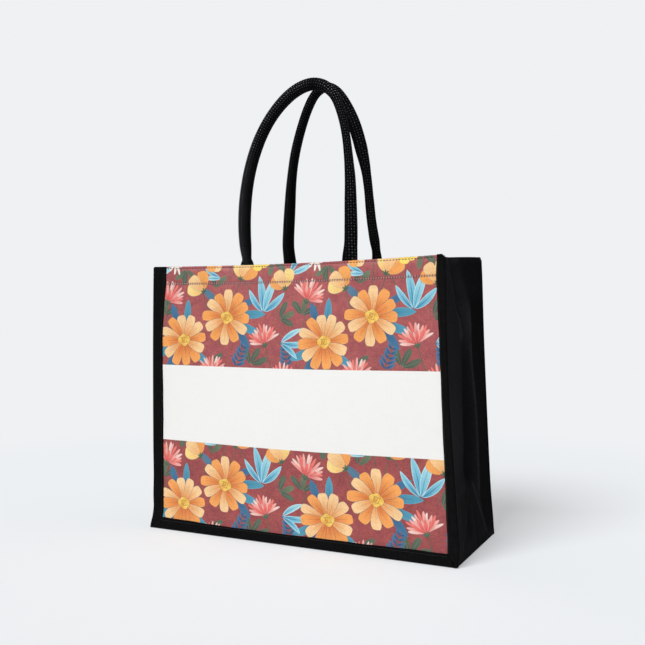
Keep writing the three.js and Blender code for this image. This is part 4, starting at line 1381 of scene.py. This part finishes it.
# ------------------------------------------------------------------ handles
def catmull(points, per=60):
    """Points along a centripetal spline through the given points."""
    P = np.asarray(points, float)
    P = np.concatenate([[2 * P[0] - P[1]], P, [2 * P[-1] - P[-2]]])
    out = []
    for i in range(1, len(P) - 2):
        p0, p1, p2, p3 = P[i - 1:i + 3]
        d0 = np.linalg.norm(p1 - p0) ** 0.5
        d1 = np.linalg.norm(p2 - p1) ** 0.5
        d2 = np.linalg.norm(p3 - p2) ** 0.5
        t1 = (p1 - p0) / d0 - (p2 - p0) / (d0 + d1) + (p2 - p1) / d1
        t2 = (p2 - p1) / d1 - (p3 - p1) / (d1 + d2) + (p3 - p2) / d2
        t1, t2 = t1 * d1, t2 * d1
        t = np.linspace(0, 1, per, endpoint=(i == len(P) - 3))[:, None]
        out.append(p1 + t1 * t + (-3 * p1 + 3 * p2 - 2 * t1 - t2) * t ** 2 + (2 * p1 - 2 * p2 + t1 + t2) * t ** 3)
    return np.concatenate(out)


AROUND, YARNS, PITCH = 96, 14, 3.5


def make_handle(side, material):
    h = HANDLES[side]

    def y_at(z):
        return h["y"] + h["lean"] * float(clamp01((z - h["sewn"]) / (h["top"] - h["sewn"]))) ** 1.2
    line = catmull([(x, y_at(z), z) for x, z in h["path"]], 24)
    line[:, 0] += SHIFT
    seg = np.linalg.norm(np.diff(line, axis=0), axis=1)
    s = np.concatenate([[0], np.cumsum(seg)])
    length = s[-1]
    # ease the corners of the path a little, ends held
    count = int(length / 0.74)
    st = np.linspace(0, length, count)
    path = np.stack([np.interp(st, s, line[:, k]) for k in range(3)], -1)
    path = blur(path, 6.0, 0)
    tangent = np.gradient(path, axis=0)
    tangent /= np.linalg.norm(tangent, axis=1)[:, None]
    across = np.array([0, 1.0, 0])
    sd = np.cross(across, tangent)
    sd /= np.linalg.norm(sd, axis=1)[:, None]
    deep = np.cross(tangent, sd)
    end = np.minimum(st, length - st)
    rows = h["section"]
    along = [r[0] * length / rows[-1][0] for r in rows]
    a = smooth_curve(along, [r[1] for r in rows])(st) / 2
    b = smooth_curve(along, [r[2] for r in rows])(st) / 2
    # hand-made tube: slow changes of girth and a few soft flats where it bends
    girth = 1 + 0.012 * np.sin(st / 13.0) + 0.010 * np.sin(st / 37.0 + 1)
    th = np.linspace(0, 2 * np.pi, AROUND, endpoint=False)
    A = YARNS * th[None, :] / (2 * np.pi) + (st / PITCH)[:, None]
    Bc = YARNS * th[None, :] / (2 * np.pi) - (st / PITCH)[:, None]
    cell = (np.abs(np.sin(np.pi * A)) * np.abs(np.sin(np.pi * Bc))) ** 0.6
    relief = 0.42 * cell - 0.30
    relief = relief * (0.35 + 0.65 * ease((end - 24) / 30))[:, None]
    ca, sa = np.cos(th)[None, :], np.sin(th)[None, :]
    ra = (a * girth + 0.22)[:, None] + relief
    rb = (b * girth + 0.12)[:, None] + relief
    # a flattened end has squarer sides than an ellipse
    flatn = ease((30 - end) / 20)[:, None]
    e = 1 - 0.35 * flatn
    px = np.sign(ca) * np.abs(ca) ** e
    py = np.sign(sa) * np.abs(sa) ** e
    ring = (path[:, None, :] + sd[:, None, :] * (ra * px)[..., None] + deep[:, None, :] * (rb * py)[..., None])
    verts, faces = sweep(ring)
    faces = outward(verts, faces)
    obj = new_object(f"{side}_handle_weave", verts, faces, [material])
    # painted light and shade on the weave: paler on the outside and top of the arch, darker on its inner side
    painted_lit = 0.20 + 0.80 * ease((0.72 - ca) / 1.0) * np.ones_like(st)[:, None]
    if side == "back":
        lined = ease((path[:, 0] - SHIFT - 10) / 14)
        # painted shade: the back handle is darker, as the front handle shades it
        painted_lit = painted_lit * (0.45 + 0.10 * lined)[:, None]
    else:
        lined = ease((path[:, 0] - SHIFT - 14) / 12)
        painted_lit = (0.35 + 0.65 * painted_lit) * lined[:, None] * 0.62 + painted_lit * (1.0 - lined)[:, None]
        # painted shade: a darker patch at the top of the crest; painted light: a paler patch on the right shoulder
        painted_lit = painted_lit * (1.0 - 0.75 * gauss(path[:, 0] - SHIFT, 8, 9) * ease((path[:, 2] - 540) / 20))[:, None]
        painted_lit = painted_lit * (1.0 + 0.7 * gauss(path[:, 0] - SHIFT, 32, 9) * ease((path[:, 2] - 500) / 40))[:, None]
    point_vector(obj, "cells", np.stack([A.ravel() + 2000, Bc.ravel() + 2000, painted_lit.ravel()], -1))
    point_vector(obj, "cloth", np.stack([np.tile(th * 7.8, count), np.repeat(st, AROUND), np.repeat(lined, AROUND)], -1))
    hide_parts(f"{side}_handle")
    return obj


# ------------------------------------------------------------------ stitches
def stitch_mesh(name, runs, material, wide=0.34, high=0.26, gap=0.75):
    """runs: lists of (point, outward normal) along each seam, a stitch each pair."""
    verts, faces, cloth = [], [], []
    ring_n, rings = 7, 7
    for a, b, nrm in runs:
        a, b, nrm = np.asarray(a, float), np.asarray(b, float), np.asarray(nrm, float)
        d = b - a
        length = np.linalg.norm(d)
        d = d / length
        side_ = np.cross(nrm, d)
        side_ /= np.linalg.norm(side_)
        up = np.cross(d, side_)
        start = len(verts)
        for i in range(rings):
            t = i / (rings - 1)
            u = (t * 2 - 1) * 0.985
            fat = math.sqrt(max(0.0, 1 - abs(u) ** 2.6))
            centre = a + d * (length * t) + up * (high * (0.55 * fat - 0.35))
            for j in range(ring_n):
                w = 2 * math.pi * j / ring_n
                verts.append(centre + side_ * (wide * fat * math.cos(w)) + up * (high * fat * math.sin(w)))
                cloth.append((w * 2.0, length * t * 2.2, len(verts) % 17))
        for i in range(rings - 1):
            for j in range(ring_n):
                k = (j + 1) % ring_n
                faces.append([start + i * ring_n + j, start + i * ring_n + k,
                              start + (i + 1) * ring_n + k, start + (i + 1) * ring_n + j])
        faces.append([start + j for j in range(ring_n)][::-1])
        faces.append([start + (rings - 1) * ring_n + j for j in range(ring_n)])
    faces = outward(verts, faces)
    obj = new_object(name, verts, faces, [material])
    point_vector(obj, "cloth", cloth)
    return obj


def panel_runs(side, t, s0, s1, pitch, fill, set_off=0.0):
    """Stitches along a level line t of the printed cloth."""
    runs = []
    count = int((s1 - s0) / pitch)
    for i in range(count):
        a, b = s0 + i * pitch, s0 + i * pitch + pitch * fill
        pa = sheet_point(side, np.array([a]), np.array([t]), 0.0)[0]
        pb = sheet_point(side, np.array([b]), np.array([t]), 0.0)[0]
        n = np.array([0, -INWARD[side], 0.0])
        runs.append((pa + n * set_off, pb + n * set_off, n))
    return runs


def strip_runs(side, hand, e_in, pitch, fill):
    runs = []
    d = 1.0 if hand == "left" else -1.0
    row = 16.0
    while row < 346:
        pts = []
        for r in (row, row + pitch * fill):
            e = float(strip_width[hand](r)) - e_in
            x = (left_x(side, r) if hand == "left" else right_x(side, r)) + d * e
            pts.append(face_point(side, np.array([x]), np.array([r]), np.array([-0.02]))[0])
        runs.append((pts[0], pts[1], np.array([0, -INWARD[side], 0.0])))
        row += pitch
    return runs


def base_runs(side, row, pitch, fill):
    runs = []
    x0, x1 = float(left_x(side, row)) + 16.5, float(right_x(side, row)) - 14.5
    x = x0
    while x < x1:
        pts = [face_point(side, np.array([v]), np.array([row]), np.array([-0.02]))[0] for v in (x, x + pitch * fill)]
        runs.append((pts[0], pts[1], np.array([0, -INWARD[side], 0.0])))
        x += pitch
    return runs


# ------------------------------------------------------------------ camera
AZ = math.radians(25.97)
cam_data = bpy.data.cameras.new("camera")
cam = bpy.data.objects.new("camera", cam_data)
bpy.context.scene.collection.objects.link(cam)
cam.location = (0.4758, -0.96745, 0.2728)
cam.rotation_mode = "QUATERNION"
cam.rotation_quaternion = Vector((-math.sin(AZ), math.cos(AZ), 0)).to_track_quat("-Z", "Y")
cam_data.sensor_width = 36.0
cam_data.lens = 45.66
cam_data.shift_y = 0.0015
cam_data.clip_end = 60.0
bpy.context.scene.camera = cam

# ------------------------------------------------------------------ build
PRINT = print_material()
BACK = inner_material()
# the gusset colour is scaled by its painted light and shade factor
GUSSET = black_material("black_canvas_weave", srgb(14, 14, 15), srgb(25, 25, 27), 0.8, 0.66, 0.004, tone="painted_light_shade")
BINDING = black_material("binding_weave", srgb(12, 12, 13), srgb(22, 22, 23), 0.7, 0.62, 0.01)
ROPE = handle_material()

flat, tris, owner, placed = whole_cloth()
for side in ("front", "back"):
    make_panel(side, flat, tris, owner, placed, [PRINT, BACK])
    make_strip(side, "left", BINDING)
    make_strip(side, "right", BINDING)
    make_base_strip(side, BINDING)
    make_handle(side, ROPE)
for hand in ("left", "right"):
    make_gusset(hand, GUSSET)
make_base(GUSSET)

HEM_THREAD = thread_material("hem_thread", srgb(224, 180, 174))
TOP_THREAD = thread_material("top_thread", srgb(78, 38, 42))
DARK_THREAD = thread_material("dark_thread", srgb(30, 30, 32))
for side in ("front", "back"):
    runs = panel_runs(side, HEIGHT - HEM, 12, CLOTH_W - 10, *HEM_STITCH, 0.06)
    stitch_mesh(f"{side}_hem_stitches", runs, HEM_THREAD, 0.50, 0.34)
    runs = panel_runs(side, TOP_ROW, 12, CLOTH_W - 10, *TOP_STITCH, 0.02)
    stitch_mesh(f"{side}_top_stitches", runs, TOP_THREAD, 0.44, 0.30)
    runs = strip_runs(side, "left", 2.1, 3.1, 0.74) + strip_runs(side, "right", 1.9, 3.1, 0.74)
    runs += base_runs(side, 11.9, 3.1, 0.74)
    stitch_mesh(f"{side}_binding_stitches", runs, DARK_THREAD, 0.26, 0.2)

# ------------------------------------------------------------------ floor and light
BG = (0.863, 0.880, 0.896)
world = bpy.data.worlds.new("studio")
bpy.context.scene.world = world
world.use_nodes = True
wt = world.node_tree
wt.nodes.clear()
out = wt.nodes.new("ShaderNodeOutputWorld")
mixw = wt.nodes.new("ShaderNodeMixShader")
light_path = wt.nodes.new("ShaderNodeLightPath")
seen = wt.nodes.new("ShaderNodeBackground")
seen.inputs[0].default_value = (*BG, 1)
seen.inputs[1].default_value = 1.0
dim = wt.nodes.new("ShaderNodeBackground")
dim.inputs[0].default_value = (0.95, 0.98, 1.0, 1)
way = wt.nodes.new("ShaderNodeTexCoord")
split = wt.nodes.new("ShaderNodeSeparateXYZ")
wt.links.new(way.outputs["Generated"], split.inputs[0])
up_ = wt.nodes.new("ShaderNodeMath")
up_.operation = "MULTIPLY"
wt.links.new(split.outputs[2], up_.inputs[0])
wt.links.new(split.outputs[2], up_.inputs[1])
power = wt.nodes.new("ShaderNodeMath")             # brighter overhead than low down
power.operation = "MULTIPLY_ADD"
wt.links.new(up_.outputs[0], power.inputs[0])
power.inputs[1].default_value = 0.18
power.inputs[2].default_value = 0.04
behind_ = wt.nodes.new("ShaderNodeMath")           # and a soft fill from behind
behind_.operation = "MAXIMUM"
wt.links.new(split.outputs[1], behind_.inputs[0])
behind_.inputs[1].default_value = 0.0
fill = wt.nodes.new("ShaderNodeMath")
fill.operation = "MULTIPLY_ADD"
wt.links.new(behind_.outputs[0], fill.inputs[0])
fill.inputs[1].default_value = 0.36
wt.links.new(power.outputs[0], fill.inputs[2])
wt.links.new(fill.outputs[0], dim.inputs[1])
wt.links.new(light_path.outputs["Is Camera Ray"], mixw.inputs[0])
wt.links.new(dim.outputs[0], mixw.inputs[1])
wt.links.new(seen.outputs[0], mixw.inputs[2])
wt.links.new(mixw.outputs[0], out.inputs[0])

n = Nodes("studio_floor")
n.tree.nodes.remove(n.shader)
diffuse = n.tree.nodes.new("ShaderNodeBsdfDiffuse")
diffuse.inputs[0].default_value = (0.563, 0.578, 0.592, 1)
glow = n.tree.nodes.new("ShaderNodeEmission")
glow.inputs[0].default_value = (*BG, 1)
FLOOR_GLOW = 0.445
glow.inputs[1].default_value = FLOOR_GLOW
far = n.tree.nodes.new("ShaderNodeEmission")
far.inputs[0].default_value = (*BG, 1)
far.inputs[1].default_value = 1.0
add = n.tree.nodes.new("ShaderNodeAddShader")
n.tree.links.new(diffuse.outputs[0], add.inputs[0])
n.tree.links.new(glow.outputs[0], add.inputs[1])
fade = n.tree.nodes.new("ShaderNodeMixShader")
where_ = n.node("ShaderNodeTexCoord", out="Object")
dist = n.node("ShaderNodeVectorMath", {0: where_}, out="Value", operation="LENGTH")
n.put(fade.inputs[0], n.step(dist, 0.75, 1.15))
n.tree.links.new(add.outputs[0], fade.inputs[1])
n.tree.links.new(far.outputs[0], fade.inputs[2])
n.tree.links.new(fade.outputs[0], n.out.inputs[0])
me = bpy.data.meshes.new("floor")
R = 30.0
me.from_pydata([(-R, -R, -0.0004), (R, -R, -0.0004), (R, R, -0.0004), (-R, R, -0.0004)], [], [(0, 1, 2, 3)])
me.materials.append(n.material)
floor = bpy.data.objects.new("floor", me)
bpy.context.scene.collection.objects.link(floor)


def sun(name, towards, strength, angle, colour=(1, 1, 1)):
    data = bpy.data.lights.new(name, "SUN")
    data.energy = strength
    data.angle = math.radians(angle)
    data.color = colour
    obj = bpy.data.objects.new(name, data)
    bpy.context.scene.collection.objects.link(obj)
    obj.rotation_mode = "QUATERNION"
    obj.rotation_quaternion = Vector([-c for c in towards]).to_track_quat("-Z", "Y")
    return obj


EL = math.radians(46.5)
TO = math.radians(16.5)
sun("key", (-math.sin(TO) * math.cos(EL), -math.cos(TO) * math.cos(EL), math.sin(EL)), 2.70, 30)

scene = bpy.context.scene
scene.view_settings.view_transform = "Standard"
scene.view_settings.look = "None"

bpy.context.view_layer.update()
